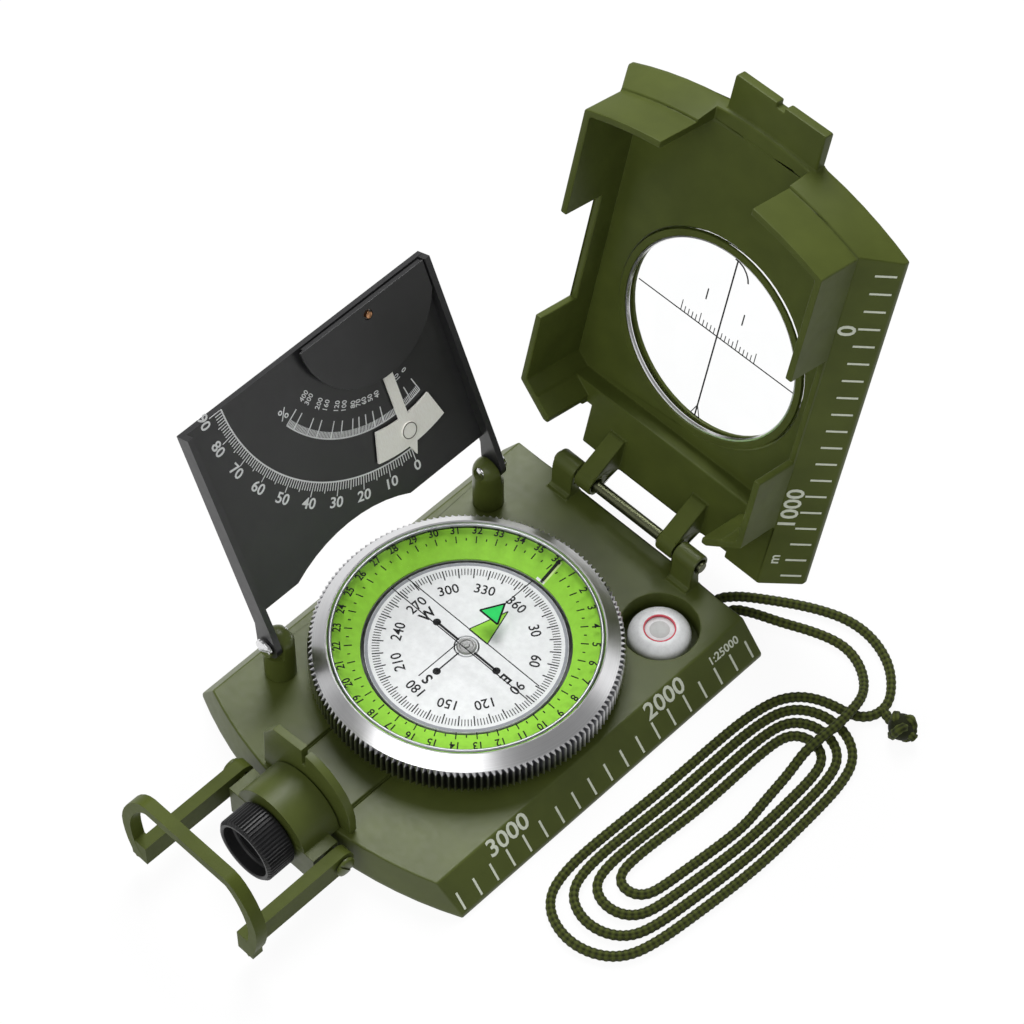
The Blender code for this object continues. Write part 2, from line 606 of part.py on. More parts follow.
def make_posts():
    arm_faces = (PANEL_Y[0] + FLANGE_THICKNESS, PANEL_Y[1] - FLANGE_THICKNESS)
    for side, name, post_y, arm_face in zip((-1, 1), ("front", "rear"), POST_Y, arm_faces):
        dome = [(POST_RADIUS * cos(a), POST_DOME_Z + POST_RADIUS * sin(a))
                for a in (radians(90 - 15 * i) for i in range(7))]
        dome[0] = (0, dome[0][1])
        spigot = (1.5 * MM, 4.3 * MM)
        foot = BASE_TOP + GAP
        profile = dome + [(POST_RADIUS, foot), (spigot[0], foot), spigot, (0, spigot[1])]
        post = turned("post_" + name, profile, steps=28, location=(POST_X, post_y, 0))
        reach = 6 * MM
        flat = arm_face - side * GAP
        low, high = sorted((flat, flat + side * reach))
        cut(post, box("post_flat_" + name, (POST_X - reach, low, POST_FLAT_Z),
                      (POST_X + reach, high, POST_DOME_Z + 2 * POST_RADIUS)))
        cut(post, rod("post_bore_" + name, SCREW_HOLE, (POST_X, post_y - reach, CLINO_AXIS_Z),
                      (POST_X, post_y + reach, CLINO_AXIS_Z), segments=16))
        paint(smooth(post), DARK_OLIVE, 0.4)
        outside = PANEL_Y[0] - SCREW_HEAD_GAP if side < 0 else PANEL_Y[1] + SCREW_HEAD_GAP
        screw_between("clino_screw_" + name, (POST_X, outside, CLINO_AXIS_Z),
                      (POST_X, post_y - side * 1.5 * MM, CLINO_AXIS_Z))


def make_clinometer(axis):
    bottom, top = PANEL_Z
    low_y, high_y = PANEL_Y
    bay_radius = (BAY_HALF ** 2 + BAY_RISE ** 2) / (2 * BAY_RISE)
    bay_angle = asin(BAY_HALF / bay_radius)
    bay_centre = (BAY_MIDDLE, bottom + BAY_RISE - bay_radius)
    bay = arc(bay_centre, bay_radius, pi / 2 + bay_angle, pi / 2 - bay_angle, 10)
    outline = [(low_y + 0.1 * MM, bottom)] + bay + [
        (high_y - 0.1 * MM, bottom), (high_y - 0.1 * MM, top), (low_y + 0.1 * MM, top),
    ]
    panel = slab("clinometer_panel", [outline], PANEL_BACK + 0.05 * MM, PANEL_FRONT, "YZ", axis)
    arm_front, arm_top_front = FLANGE_FRONT
    arm_top = top - 0.1 * MM
    arm = arc((0, 0), ARM_END_RADIUS, pi, 2 * pi, 12) + [
        (arm_front, 4.0 * MM), (arm_top_front, arm_top), (PANEL_BACK, arm_top), (PANEL_BACK, 5.0 * MM),
    ]
    join(panel, slab("front_arm", [arm], low_y, low_y + FLANGE_THICKNESS, "XZ", axis))
    join(panel, slab("rear_arm", [arm], high_y - FLANGE_THICKNESS, high_y, "XZ", axis))
    cut(panel, rod("arm_bore", SCREW_HOLE, (0, low_y - 5 * MM, 0), (0, high_y + 5 * MM, 0), axis, 16))
    pin_hole = PENDULUM_PIN_RADIUS + GAP
    behind = (-5 * MM, PENDULUM_Y, PENDULUM_Z)
    before = (5 * MM, PENDULUM_Y, PENDULUM_Z)
    cut(panel, rod("pin_hole", pin_hole, behind, before, axis, 16))
    paint(panel, BLACK, 0.4)
    shield_back, shield_front = SHIELD_FACE
    rear_inner = high_y - FLANGE_THICKNESS - GAP
    shield_top = top - 0.1 * MM
    right = acos((rear_inner - PENDULUM_Y) / SHIELD_RADIUS)
    half = arc((PENDULUM_Y, shield_top), SHIELD_RADIUS, -pi, -right, 20)
    shield_outline = half + [(rear_inner, shield_top)]
    shield = slab("pivot_shield", [shield_outline], shield_back, shield_front, "YZ", axis)
    ledge = PENDULUM_Z + PENDULUM_EYE + GAP
    join(shield, box("shield_ledge", (PANEL_FRONT + GAP, PENDULUM_Y - SHIELD_RADIUS + MM, ledge),
                     (shield_back + 0.2 * MM, rear_inner - 0.1 * MM, shield_top - 0.1 * MM), axis))
    cut(shield, rod("shield_hole", pin_hole, behind, before, axis, 16))
    paint(shield, BLACK, 0.4)
    pin = rod("pendulum_pin", PENDULUM_PIN_RADIUS, (PANEL_BACK + 0.2 * MM, PENDULUM_Y, PENDULUM_Z),
              (shield_front + 0.3 * MM, PENDULUM_Y, PENDULUM_Z), axis, 16)
    paint(smooth(pin), COPPER, 0.35, 1.0)


def make_pendulum(axis):
    inner, outer = PENDULUM_SECTOR
    down = -pi / 2
    half = PENDULUM_HALF_ANGLE
    bar = PENDULUM_BAR
    at_bar = asin(bar / inner)
    at_tip = asin(PENDULUM_TIP_HALF / outer)
    outline = arc((0, 0), inner, down + half, down + at_bar, 4)
    outline += arc((0, 0), bar, 0, pi, 8)
    outline += arc((0, 0), inner, down - at_bar, down - half, 4)
    outline += arc((0, 0), outer, down - half, down - at_tip, 4)
    outline += [(0, -PENDULUM_TIP)]
    outline += arc((0, 0), outer, down + at_tip, down + half, 4)
    plate = slab("pendulum", [outline], *PENDULUM_PLATE, "YZ", axis)
    eye_ends = (PENDULUM_PLATE[0] + 0.02 * MM, PENDULUM_PLATE[1] - 0.02 * MM)
    join(plate, rod("pendulum_eye", PENDULUM_EYE, (eye_ends[0], 0, 0), (eye_ends[1], 0, 0), axis, 20))
    cut(plate, rod("pendulum_bore", PENDULUM_PIN_RADIUS + GAP, (-5 * MM, 0, 0), (5 * MM, 0, 0), axis, 16))
    stud_z = -(inner + outer) / 2
    join(plate, rod("pendulum_stud", 1.6 * MM, (PENDULUM_PLATE[0] + 0.1 * MM, 0, stud_z),
                    (PENDULUM_PLATE[1] + 0.3 * MM, 0, stud_z), axis, 20))
    paint(plate, SILVER, 0.3, 1.0)


def make_prism_sight():
    front, back = HOUSING_Y
    bottom, top = HOUSING_Z
    half = HOUSING_HALF_WIDTH
    housing = box("prism_housing", (-half, front, bottom), (half, back, top))
    spring = asin((BASE_TOP + GAP - ARCH_CENTRE_Z) / ARCH_RADIUS)
    arch = arc((0, ARCH_CENTRE_Z), ARCH_RADIUS, spring, pi - spring, 24)
    join(housing, slab("prism_arch", [arch], front + 0.1 * MM, ARCH_BACK, "XZ"))
    bore_end = ARCH_BACK - 1.3 * MM
    cut(housing, rod("eyepiece_bore", EYEPIECE_BORE, (0, front - 2 * MM, EYEPIECE_Z),
                     (0, bore_end, EYEPIECE_Z)))
    for side, name in ((-1, "left"), (1, "right")):
        start = (side * (half + MM), BAIL_Y, BAIL_Z)
        end = (side * 7.6 * MM, BAIL_Y, BAIL_Z)
        cut(housing, rod("bail_hole_" + name, SCREW_HOLE, start, end, segments=16))
    paint(housing, DARK_OLIVE, 0.45)
    prism_low = EYEPIECE_Z - 2.9 * MM
    prism = [
        (-44.4 * MM, prism_low), (back - 0.1 * MM, prism_low), (back - 0.1 * MM, prism_low + 3.0 * MM),
        (-44.4 * MM, EYEPIECE_Z + 2.9 * MM),
    ]
    paint(slab("reading_prism", [prism], -3 * MM, 3 * MM, "YZ"), GLASS, 0.02)
    foot = BASE_TOP + GAP
    shoulder = arc((0, SIGHT_TOP - SIGHT_HALF_WIDTH - 0.8 * MM), SIGHT_HALF_WIDTH, 0, pi / 2 - 0.05, 12)
    slit_left, slit_right = SIGHT_SLIT
    leaf = [(-SIGHT_HALF_WIDTH, foot), (SIGHT_HALF_WIDTH, foot)] + shoulder[:-1] + [
        (slit_right, SIGHT_TOP - 0.8 * MM), (slit_right, SIGHT_SLIT_BOTTOM), (slit_left, SIGHT_SLIT_BOTTOM),
        (slit_left, SIGHT_TOP), (-7.6 * MM, SIGHT_TOP - 0.9 * MM), (-10.2 * MM, SIGHT_TOP - 4.6 * MM),
    ]
    paint(slab("rear_sight", [leaf], *SIGHT_Y, "XZ"), DARK_OLIVE, 0.45)


def make_eyepiece(axis):
    tube_end = -EYEPIECE_TUBE_LENGTH
    ring_back = 0.3 * MM
    profile = [
        (EYEPIECE_INNER_RADIUS, EYEPIECE_LENGTH - 1.5 * MM), (5.3 * MM, EYEPIECE_LENGTH),
        (EYEPIECE_RADIUS - 0.5 * MM, EYEPIECE_LENGTH), (EYEPIECE_RADIUS, EYEPIECE_LENGTH - 0.6 * MM),
        (EYEPIECE_RADIUS, ring_back + 0.4 * MM), (EYEPIECE_RADIUS - 0.4 * MM, ring_back),
        (EYEPIECE_TUBE_RADIUS, ring_back), (EYEPIECE_TUBE_RADIUS, tube_end),
        (EYEPIECE_INNER_RADIUS, tube_end),
    ]
    paint(smooth(turned("eyepiece_ring", profile, axis, 40, closed=True)), BLACK, 0.45)
    edge = EYEPIECE_INNER_RADIUS - GAP
    lens = [
        (0, 1.9 * MM), (edge * 0.6, 1.7 * MM), (edge, 1.2 * MM),
        (edge, 0.4 * MM), (edge * 0.6, -0.1 * MM), (0, -0.3 * MM),
    ]
    paint(smooth(turned("eyepiece_lens", lens, axis, 24)), GLASS, 0.02)


def offset_band(path, half_thickness):
    """The outline of a strip that follows a path at an even thickness."""
    left, right = [], []
    for i, (x, z) in enumerate(path):
        before = path[max(i - 1, 0)]
        after = path[min(i + 1, len(path) - 1)]
        run_x, run_z = after[0] - before[0], after[1] - before[1]
        length = hypot(run_x, run_z)
        across = (-run_z / length * half_thickness, run_x / length * half_thickness)
        left.append((x + across[0], z + across[1]))
        right.append((x - across[0], z - across[1]))
    return left + right[::-1]


def bail_side():
    """The stirrup's right half from its foot to the end of its straight crossbar."""
    side = []
    for angle in (radians(BAIL_FOOT_ANGLE + 12 * i) for i in range(13)):
        across, up = max(cos(angle), 0.0), sin(angle)
        if angle > 0:
            across, up = across ** BAIL_CORNER, up ** BAIL_CORNER
        rise = BAIL_RISE if angle > 0 else BAIL_DROP
        side.append((BAIL_CROSSBAR + BAIL_BULGE * across, BAIL_WAIST_Z + rise * up))
    return side


def make_bail(axis):
    inner, outer = BAIL_ARM_X
    near, far = BAIL_LOOP_Y
    path = bail_side()
    path += [(-x, z) for x, z in reversed(path)]
    bail = slab("bail", [offset_band(path, BAIL_STRIP / 2)], near, far, "XZ", axis)
    arm = [(near + 0.3 * MM, -BAIL_ARM_RADIUS), *arc((0, 0), BAIL_ARM_RADIUS, -pi / 2, pi / 2, 10),
           (near + 0.3 * MM, BAIL_ARM_RADIUS)]
    for sign, name in ((-1, "left"), (1, "right")):
        low, high = sorted((sign * inner, sign * outer))
        join(bail, slab("bail_arm_" + name, [arm], low, high, "YZ", axis))
        low, high = sorted((sign * (inner + INSET), sign * 14.9 * MM))
        join(bail, box("bail_heel_" + name, (low, near + INSET, INSET - BAIL_ARM_RADIUS),
                       (high, far - INSET, BAIL_ARM_RADIUS - INSET), axis))
        outside = (sign * (outer + SCREW_HEAD_GAP), BAIL_Y, BAIL_Z)
        screw_between("bail_screw_" + name, outside, (sign * 8.0 * MM, BAIL_Y, BAIL_Z))
    cut(bail, rod("bail_bore", SCREW_HOLE, (-20 * MM, 0, 0), (20 * MM, 0, 0), axis, 16))
    paint(bail, OLIVE, 0.45)


def smooth_route(points, spacing):
    """Points at an even spacing along a smooth curve through the given ones."""
    dense = []
    padded = [points[0]] + list(points) + [points[-1]]
    for a, b, c, d in zip(padded, padded[1:], padded[2:], padded[3:]):
        a, b, c, d = Vector(a), Vector(b), Vector(c), Vector(d)
        for i in range(20):
            t = i / 20
            dense.append(0.5 * (2 * b + (c - a) * t + (2 * a - 5 * b + 4 * c - d) * t * t
                                + (3 * b - a - 3 * c + d) * t ** 3))
    dense.append(Vector(points[-1]))
    length = sum((q - p).length for p, q in zip(dense, dense[1:]))
    count = max(3, round(length / spacing))
    route, target, walked = [dense[0]], length / count, 0.0
    for p, q in zip(dense, dense[1:]):
        step = (q - p).length
        while len(route) < count and walked + step >= target * len(route):
            route.append(p.lerp(q, (target * len(route) - walked) / step))
        walked += step
    return route + [dense[-1]]


def cord_tube(name, route, resolution):
    curve = bpy.data.curves.new(name, "CURVE")
    curve.dimensions = "3D"
    curve.bevel_depth = CORD_RADIUS
    curve.bevel_resolution = resolution
    curve.use_fill_caps = True
    spline = curve.splines.new("POLY")
    spline.points.add(len(route) - 1)
    for point, place in zip(spline.points, route):
        point.co = (*place, 1.0)
    return paint(add_object(name, curve, None), CORD_GREEN, 0.8)


def hank_route():
    """Nested loops that start outside at the far end and step inwards once a turn."""
    route = [Vector((x * MM, y * MM, CORD_LIE)) for x, y in HANK_LEAD_IN]
    count = round(HANK_TURNS * HANK_POINTS_PER_LOOP)
    for i in range(1, count + 1):
        turn = i / HANK_POINTS_PER_LOOP
        angle = pi / 2 + 2 * pi * turn
        half_width = HANK_HALF_WIDTH - HANK_WIDTH_STEP * turn
        near = HANK_NEAR_END + HANK_NEAR_STEP * turn
        far = HANK_FAR_END - HANK_FAR_STEP * turn
        run = (far - near) / 2 - half_width
        along = copysign(1.0 - (1.0 - abs(sin(angle))) ** HANK_FULLNESS, sin(angle))
        x = HANK_CENTRE_X + half_width * cos(angle) + HANK_NEAR_LEAN * min(along, 0.0)
        y = (far + near) / 2 + run * along + half_width * sin(angle)
        route.append(Vector((x, y, CORD_LIE)))
    return route


def least_gap(route):
    """The least clear distance between stretches of one tube that are well apart along it."""
    dense = []
    for p, q in zip(route, route[1:]):
        dense += [p.lerp(q, i / 8) for i in range(8)]
    apart = HANK_POINTS_PER_LOOP * 4
    count = len(dense)
    least = min((dense[j] - dense[i]).length
                for i in range(0, count, 2) for j in range(i + apart, count, 2))
    return least - 2 * CORD_RADIUS


HANK_LEAD_IN = [(55.8, 46.65), (55.3, 44.95), (54.1, 43.5), (52.3, 42.65)]
STRAND_A = [
    (19.4, 43.0, 1.8), (19.8, 44.8, 1.7), (21.6, 47.3, 1.4), (25.0, 50.2, 0.95), (29.4, 53.1, 0.95),
    (33.8, 55.5, 0.95), (38.0, 57.1, 0.95), (42.0, 57.6, 0.95), (46.0, 57.0, 0.95), (49.8, 55.4, 0.95),
    (52.6, 53.2, 0.95), (54.5, 50.9, 0.95), (55.5, 49.2, 0.95), (55.8, 47.15, 0.95),
]
STRAND_B = [
    (22.6, 43.0, 1.8), (23.0, 44.2, 1.7), (24.3, 45.6, 1.4), (26.3, 46.8, 1.1), (28.8, 47.9, 0.95),
    (31.6, 49.1, 0.95), (35.0, 50.7, 0.95), (38.9, 52.1, 0.95), (42.2, 52.6, 0.95), (45.4, 52.0, 0.95),
    (48.2, 50.5, 1.05), (50.4, 48.4, 1.6), (51.9, 46.0, 2.5), (52.7, 43.2, 3.3), (53.1, 38.2, 3.4),
    (52.8, 33.4, 3.4), (52.6, 30.0, 2.8), (52.9, 26.0, 1.3), (53.6, 19.4, 0.95), (54.4, 11.4, 0.95),
]
TAIL = [(57.1, 46.9, 0.95), (57.6, 46.75, 1.0), (58.1, 46.6, 1.05)]


def millimetres(points):
    return [tuple(value * MM for value in point) for point in points]


def make_lanyard():
    anchor = box("lanyard_anchor", *zip(ANCHOR_X, ANCHOR_Y, ANCHOR_Z))
    paint(anchor, DARK_OLIVE, 0.5)
    spacing = 3.2 * CORD_RADIUS
    cord_tube("cord_strand_a", smooth_route(millimetres(STRAND_A), spacing), 2)
    cord_tube("cord_strand_b", smooth_route(millimetres(STRAND_B), spacing), 2)
    cord_tube("cord_tail", smooth_route(millimetres(TAIL), spacing), 2)
    route = hank_route()
    cord_tube("cord_hank", route, 1)
    print("least gap between the hank's loops, mm: %.2f" % (least_gap(route) / MM))
    knot_height = KNOT_RADIUS + 0.05 * MM
    angles = [radians(90 - 22.5 * i) for i in range(9)]
    knot = [(KNOT_RADIUS * cos(a), KNOT_RADIUS * sin(a)) for a in angles]
    knot[0] = (0, knot[0][1])
    knot[-1] = (0, knot[-1][1])
    lump = turned("cord_knot", knot, steps=16, location=(*KNOT_CENTRE, knot_height))
    paint(smooth(lump), CORD_GREEN, 0.8)


clear_scene()
PARTS = new_collection("geology_compass")
CUTTERS = new_collection("cutters")

make_base()
make_capsule()
make_level()
make_posts()
make_prism_sight()
make_card(axis_empty("card_axis", (0, 0, 0)))
make_bezel(axis_empty("bezel_axis", (0, 0, 0)))
make_lid(axis_empty("lid_axis", (0, HINGE_Y, HINGE_Z), (LID_REST, 0, 0)))
clinometer_axis = axis_empty("clinometer_axis", (POST_X, 0, CLINO_AXIS_Z), (0, -CLINO_LEAN, 0))
make_clinometer(clinometer_axis)
make_pendulum(axis_empty("pendulum_axis", (0, PENDULUM_Y, PENDULUM_Z), parent=clinometer_axis))
make_eyepiece(axis_empty("eyepiece_axis", (0, HOUSING_Y[0], EYEPIECE_Z), (pi / 2, 0, 0)))
make_bail(axis_empty("bail_axis", (0, BAIL_Y, BAIL_Z)))
make_lanyard()
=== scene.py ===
"""Dresses the folding geology compass: finishes, printed scales, knurling and the braided lanyard.

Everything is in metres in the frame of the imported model. Sizes written in millimetres are
multiplied by MM.
"""
import json
from math import atan, copysign, cos, degrees, hypot, pi, radians, sin

import bmesh
import bpy
from bpy.props import FloatProperty, FloatVectorProperty, IntProperty, PointerProperty
from mathutils import Matrix, Vector
from mathutils.bvhtree import BVHTree


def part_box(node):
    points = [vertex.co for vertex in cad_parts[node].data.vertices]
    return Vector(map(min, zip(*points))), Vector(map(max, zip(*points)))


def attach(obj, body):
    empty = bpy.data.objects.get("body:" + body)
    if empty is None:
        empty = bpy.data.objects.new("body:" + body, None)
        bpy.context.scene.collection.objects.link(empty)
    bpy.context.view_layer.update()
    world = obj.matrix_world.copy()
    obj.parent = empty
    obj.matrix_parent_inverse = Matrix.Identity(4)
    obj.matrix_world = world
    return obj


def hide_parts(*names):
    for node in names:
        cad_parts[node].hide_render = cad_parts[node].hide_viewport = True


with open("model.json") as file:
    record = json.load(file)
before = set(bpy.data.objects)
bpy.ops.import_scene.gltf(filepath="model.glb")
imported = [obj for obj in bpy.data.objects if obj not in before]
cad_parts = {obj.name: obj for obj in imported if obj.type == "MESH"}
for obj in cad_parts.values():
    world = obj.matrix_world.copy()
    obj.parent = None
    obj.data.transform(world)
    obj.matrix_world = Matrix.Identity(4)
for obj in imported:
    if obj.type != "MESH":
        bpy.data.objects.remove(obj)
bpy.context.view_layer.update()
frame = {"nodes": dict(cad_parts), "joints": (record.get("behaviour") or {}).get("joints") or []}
JOINTS = {joint["name"]: joint for joint in frame["joints"]}
MM = 0.001

bl_info = {
    "name": "Geology compass",
    "version": (1, 0, 0),
    "blender": (4, 5, 0),
    "location": "View3D > Sidebar > Compass",
    "description": "Dresses a folding geology compass around its solid parts",
    "category": "Object",
}

# Photograph's camera, in the model's frame
CAMERA_PLACE = (0.2680, -0.2609, 0.5658)
CAMERA_RIGHT = (0.71254, 0.70164, 0.0)
CAMERA_UP = (-0.56711, 0.57592, 0.58883)
CAMERA_BACK = (0.41315, -0.41956, 0.80826)

# Studio: each lamp's name, place, size and power, where they point, and how bright floor and world are
LAMPS = (
    ("key", (-0.42, 0.46, 0.86), 0.55, 10.3),
    ("fill", (0.05, -0.95, 0.80), 0.8, 4.8),
    ("near", (0.52, -0.53, 0.66), 0.36, 1.0),
    ("side", (-0.95, -0.35, 0.60), 0.7, 1.0),
    ("right", (0.48, 0.86, 0.34), 0.4, 0.55),
)
LAMP_AIM = (0.0, 0.01, 0.02)
FLOOR_SIZE = 6.0
FLOOR_GLOW = 1.06
FLOOR_GLOW_SHARE = 0.88
WORLD_LIGHT = 0.27

# Frames of the lid and of the clinometer's face at rest
LID_REST = radians(75.6)
LID_FRAME = Matrix.Translation(JOINTS["lid_hinge"]["pos_m"]) @ Matrix.Rotation(LID_REST, 4, "X")
CLINO_LEAN = radians(22.5)
CLINO_FRAME = (Matrix.Translation(JOINTS["clinometer_fold"]["pos_m"])
               @ Matrix.Rotation(-CLINO_LEAN, 4, "Y"))

# Rulers: where the bevel starts and ends, the ticks' places and reach, and the figures, each with its
# place along and up the bevel and its height in millimetres
BASE_BEVEL = ((32.6 * MM, 1.1 * MM), (27.7 * MM, 7.2 * MM))
LID_BEVEL = ((31.8 * MM, -11.2 * MM), (26.6 * MM, -4.7 * MM))
RULER_TICKS = 19
TICK_WIDTH = 0.42 * MM
BASE_FIRST_TICK = 39.3 * MM
BASE_TICK = (0.55 * MM, 4.05 * MM)
BASE_WORDS = (("2000", 19.8, 5.9, 3.1), ("3000", -19.1, 5.9, 3.1), ("1:25000", 34.6, 5.4, 1.5))
LID_FIRST_TICK = 72.5 * MM
LID_TICK_STEP = 3.87 * MM
LID_TICK = (0.8 * MM, 4.6 * MM)
LID_WORDS = (("0", 60.4, 6.3, 3.1), ("1000", 19.1, 6.3, 3.1), ("m", 6.8, 6.6, 1.9))

# Dial, card and glass, seen from above with the index towards +Y
SCALE_TOP = 15.15 * MM
SCALE_DROP = 2.25 * MM
CARD_TOP = 12.6 * MM
CRYSTAL_TOP = 16.05 * MM
DIAL_NUMBERS = 36
CARD_NUMBERS = 12
DIAL_EDGE = (18.5 * MM, 23.7 * MM)

# Print of the dial and the card, in millimetres: where long and short ticks start, end and how wide
# they are, and how far out the figures stand and how tall they are
DIAL_TICKS = ((19.85, 21.25, 0.2), (20.35, 20.85, 0.2))
DIAL_FIGURES = (22.5, 1.45)
CARD_TICK_COUNT = 180
CARD_TICKS = ((14.5, 16.5, 0.22), (15.15, 16.5, 0.15))
CARD_FIGURES = (12.25, 1.9)
CARD_LETTERS = (9.5, 2.0)
CARD_DOTS = (7.3, 0.72)
# Ring of painted shade round the card's edge: radius and width
CARD_SHADE_RING = (17.45, 0.55)

# Clinometer's print, round the pendulum's pin
PANEL_FRONT = 0.45 * MM
PIVOT_Y = 14.6 * MM
PIVOT_Z = 44.4 * MM
DEGREE_CENTRE = (-0.35 * MM, 1.9 * MM)
DEGREE_ARC = 31.6 * MM
PERCENT_CENTRE = (-1.0 * MM, 1.6 * MM)
PERCENT_ARC = 23.2 * MM
PERCENT_START = radians(-15.8)
PERCENT_SPREAD = 1.03
PERCENT_NUMBERS = (400, 300, 200, 160, 120, 100, 80, 70, 60, 50, 40, 20, 10, 0)
PERCENT_TICKS = 96

# Clinometer's figures, in millimetres: how far from the pin they stand and how tall they are
DEGREE_FIGURES = (35.5, 1.95)
PERCENT_FIGURES = (17.4, 1.0)
PERCENT_SIGN = (22.1, 2.1)
PERCENT_SIGN_ANGLE = radians(67.3)

# Colours of small pieces: hinge pin, bead, bubble, card's hub, painted shade at the card's edge, painted
# shadow round the pendulum's stud, index's painted highlight, glass
HINGE_OLIVE = (0.13, 0.14, 0.08)
BEAD_GREY = (0.30, 0.31, 0.32)
BUBBLE_GREY = (0.58, 0.59, 0.58)
HUB_GREY = (0.22, 0.22, 0.215)
CARD_SHADE_GREY = (0.30, 0.31, 0.34)
STUD_SHADOW_GREY = (0.10, 0.09, 0.08)
INDEX_HIGHLIGHT_GREEN = (0.62, 0.80, 0.30)
GLASS_TINT = (0.98, 0.99, 0.99)

# Height of a figure as a share of the font's size
FIGURE_HEIGHT = 0.70

# Turned profiles, (radius, height) in millimetres; those of the level and the hub count from their tops
BEZEL_PROFILE = (
    (24.1, 16.05), (24.22, 16.35), (24.5, 16.45), (26.85, 14.45), (27.6, 13.9), (27.7, 13.75), (27.7, 9.7),
    (27.4, 9.4), (26.5, 9.4), (26.5, 13.0), (22.0, 13.0), (18.5, 11.31), (18.5, 12.2), (24.1, 14.45),
)
BEAD_PROFILE = (
    (23.35, 16.08), (23.35, 16.28), (23.45, 16.4), (23.65, 16.45), (23.85, 16.4), (23.92, 16.3),
    (23.92, 16.08),
)
HUB_PROFILE = (
    (0.0, 0.0), (0.45, -0.04), (0.6, -0.3), (1.1, -0.32), (1.25, -0.12), (1.55, -0.15), (1.75, -0.36),
)
LEVEL_POCKET = (2.95 * MM, -0.5 * MM)
LEVEL_FALL = 2.0 * MM
LEVEL_RING = ((2.68, 0.03), (2.94, 0.03), (2.94, -0.49), (2.68, -0.49))
LEVEL_BUBBLE = ((0.0, -0.45), (1.7, -0.45), (1.8, -0.49), (0.0, -0.49))
LEVEL_DOME = ((0.0, 0.3), (0.9, 0.27), (1.7, 0.18), (2.3, 0.05), (2.6, -0.1), (2.6, -0.4), (0.0, -0.4))

# Seams on the base's top beside the sight
BASE_SEAMS = (-7.4 * MM, 6.7 * MM)

# Lid's window
WINDOW_AXIS = (0.7 * MM, 36.9 * MM)
WINDOW_LINER = ((18.9, -9.86), (18.8, -9.6), (19.0, -9.3), (19.3, -9.25), (19.35, -9.86))
WINDOW_HOOK = ((-0.6, 17.3), (0.4, 17.2), (1.4, 16.8), (2.3, 16.0), (2.9, 15.1), (3.15, 14.3))
WINDOW_CENTRE = (1.0 * MM, 37.0 * MM)
WINDOW_OUTSIDE = -11.1 * MM

# Lines on the window, in millimetres
WINDOW_REACH = 18.6
WINDOW_TICK_STEP = 0.86
WINDOW_MARKS = (-4.2, 4.2)

# Lanyard: the solid's own route, in millimetres
CORD_LIE = 0.95
HANK_CENTRE_X = 51.1
HANK_TURNS = 3.75
HANK_POINTS_PER_LOOP = 24
HANK_HALF_WIDTH = 12.3
HANK_WIDTH_STEP = 2.4
HANK_NEAR_END = -26.8
HANK_NEAR_LEAN = 1.7
HANK_NEAR_STEP = 4.6
HANK_FAR_END = 42.2
HANK_FAR_STEP = 2.8
HANK_FULLNESS = 4.0
HANK_LEAD_IN = [(55.8, 46.65), (55.3, 44.95), (54.1, 43.5), (52.3, 42.65)]
STRAND_A = [
    (19.4, 43.0, 1.8), (19.8, 44.8, 1.7), (21.6, 47.3, 1.4), (25.0, 50.2, 0.95), (29.4, 53.1, 0.95),
    (33.8, 55.5, 0.95), (38.0, 57.1, 0.95), (42.0, 57.6, 0.95), (46.0, 57.0, 0.95), (49.8, 55.4, 0.95),
    (52.6, 53.2, 0.95), (54.5, 50.9, 0.95), (55.5, 49.2, 0.95), (55.8, 47.15, 0.95),
]
STRAND_B = [
    (22.6, 43.0, 1.8), (23.0, 44.2, 1.7), (24.3, 45.6, 1.4), (26.3, 46.8, 1.1), (28.8, 47.9, 0.95),
    (31.6, 49.1, 0.95), (35.0, 50.7, 0.95), (38.9, 52.1, 0.95), (42.2, 52.6, 0.95), (45.4, 52.0, 0.95),
    (48.2, 50.5, 1.05), (50.4, 48.4, 1.6), (51.9, 46.0, 2.5), (52.7, 43.2, 3.3), (53.1, 38.2, 3.4),
    (52.8, 33.4, 3.4), (52.6, 30.0, 2.8), (52.9, 26.0, 1.3), (53.6, 19.4, 0.95), (54.4, 11.4, 0.95),
]
TAIL = [(55.9, 47.3, 0.95), (57.1, 46.9, 0.95), (57.6, 46.75, 1.0), (58.1, 46.6, 1.05), (59.4, 46.3, 1.8)]
KNOT_CENTRE = (61.1, 46.0, 2.75)
KNOT_REACH = (0.64, 0.62, 1.75)
KNOT_HEART = 2.4
KNOT_END = [(62.3, 45.6, 3.0), (63.3, 45.9, 2.7), (64.1, 46.1, 2.2)]
KNOT_END_SHARE = 0.9

# How the cord's corners are eased: passes, and reach and fixed ends in steps of the braid
RELAX_PASSES = 2
RELAX_SPAN = 8
RELAX_END = 12

# Braid: sides of its tube, its step and pitch, yarns each way, and depth as a share of the radius
BRAID_SIDES = 24
BRAID_STEP = 0.24 * MM
BRAID_PITCH = 2.2 * MM
BRAID_STRANDS = 3
BRAID_DEPTH = 0.13


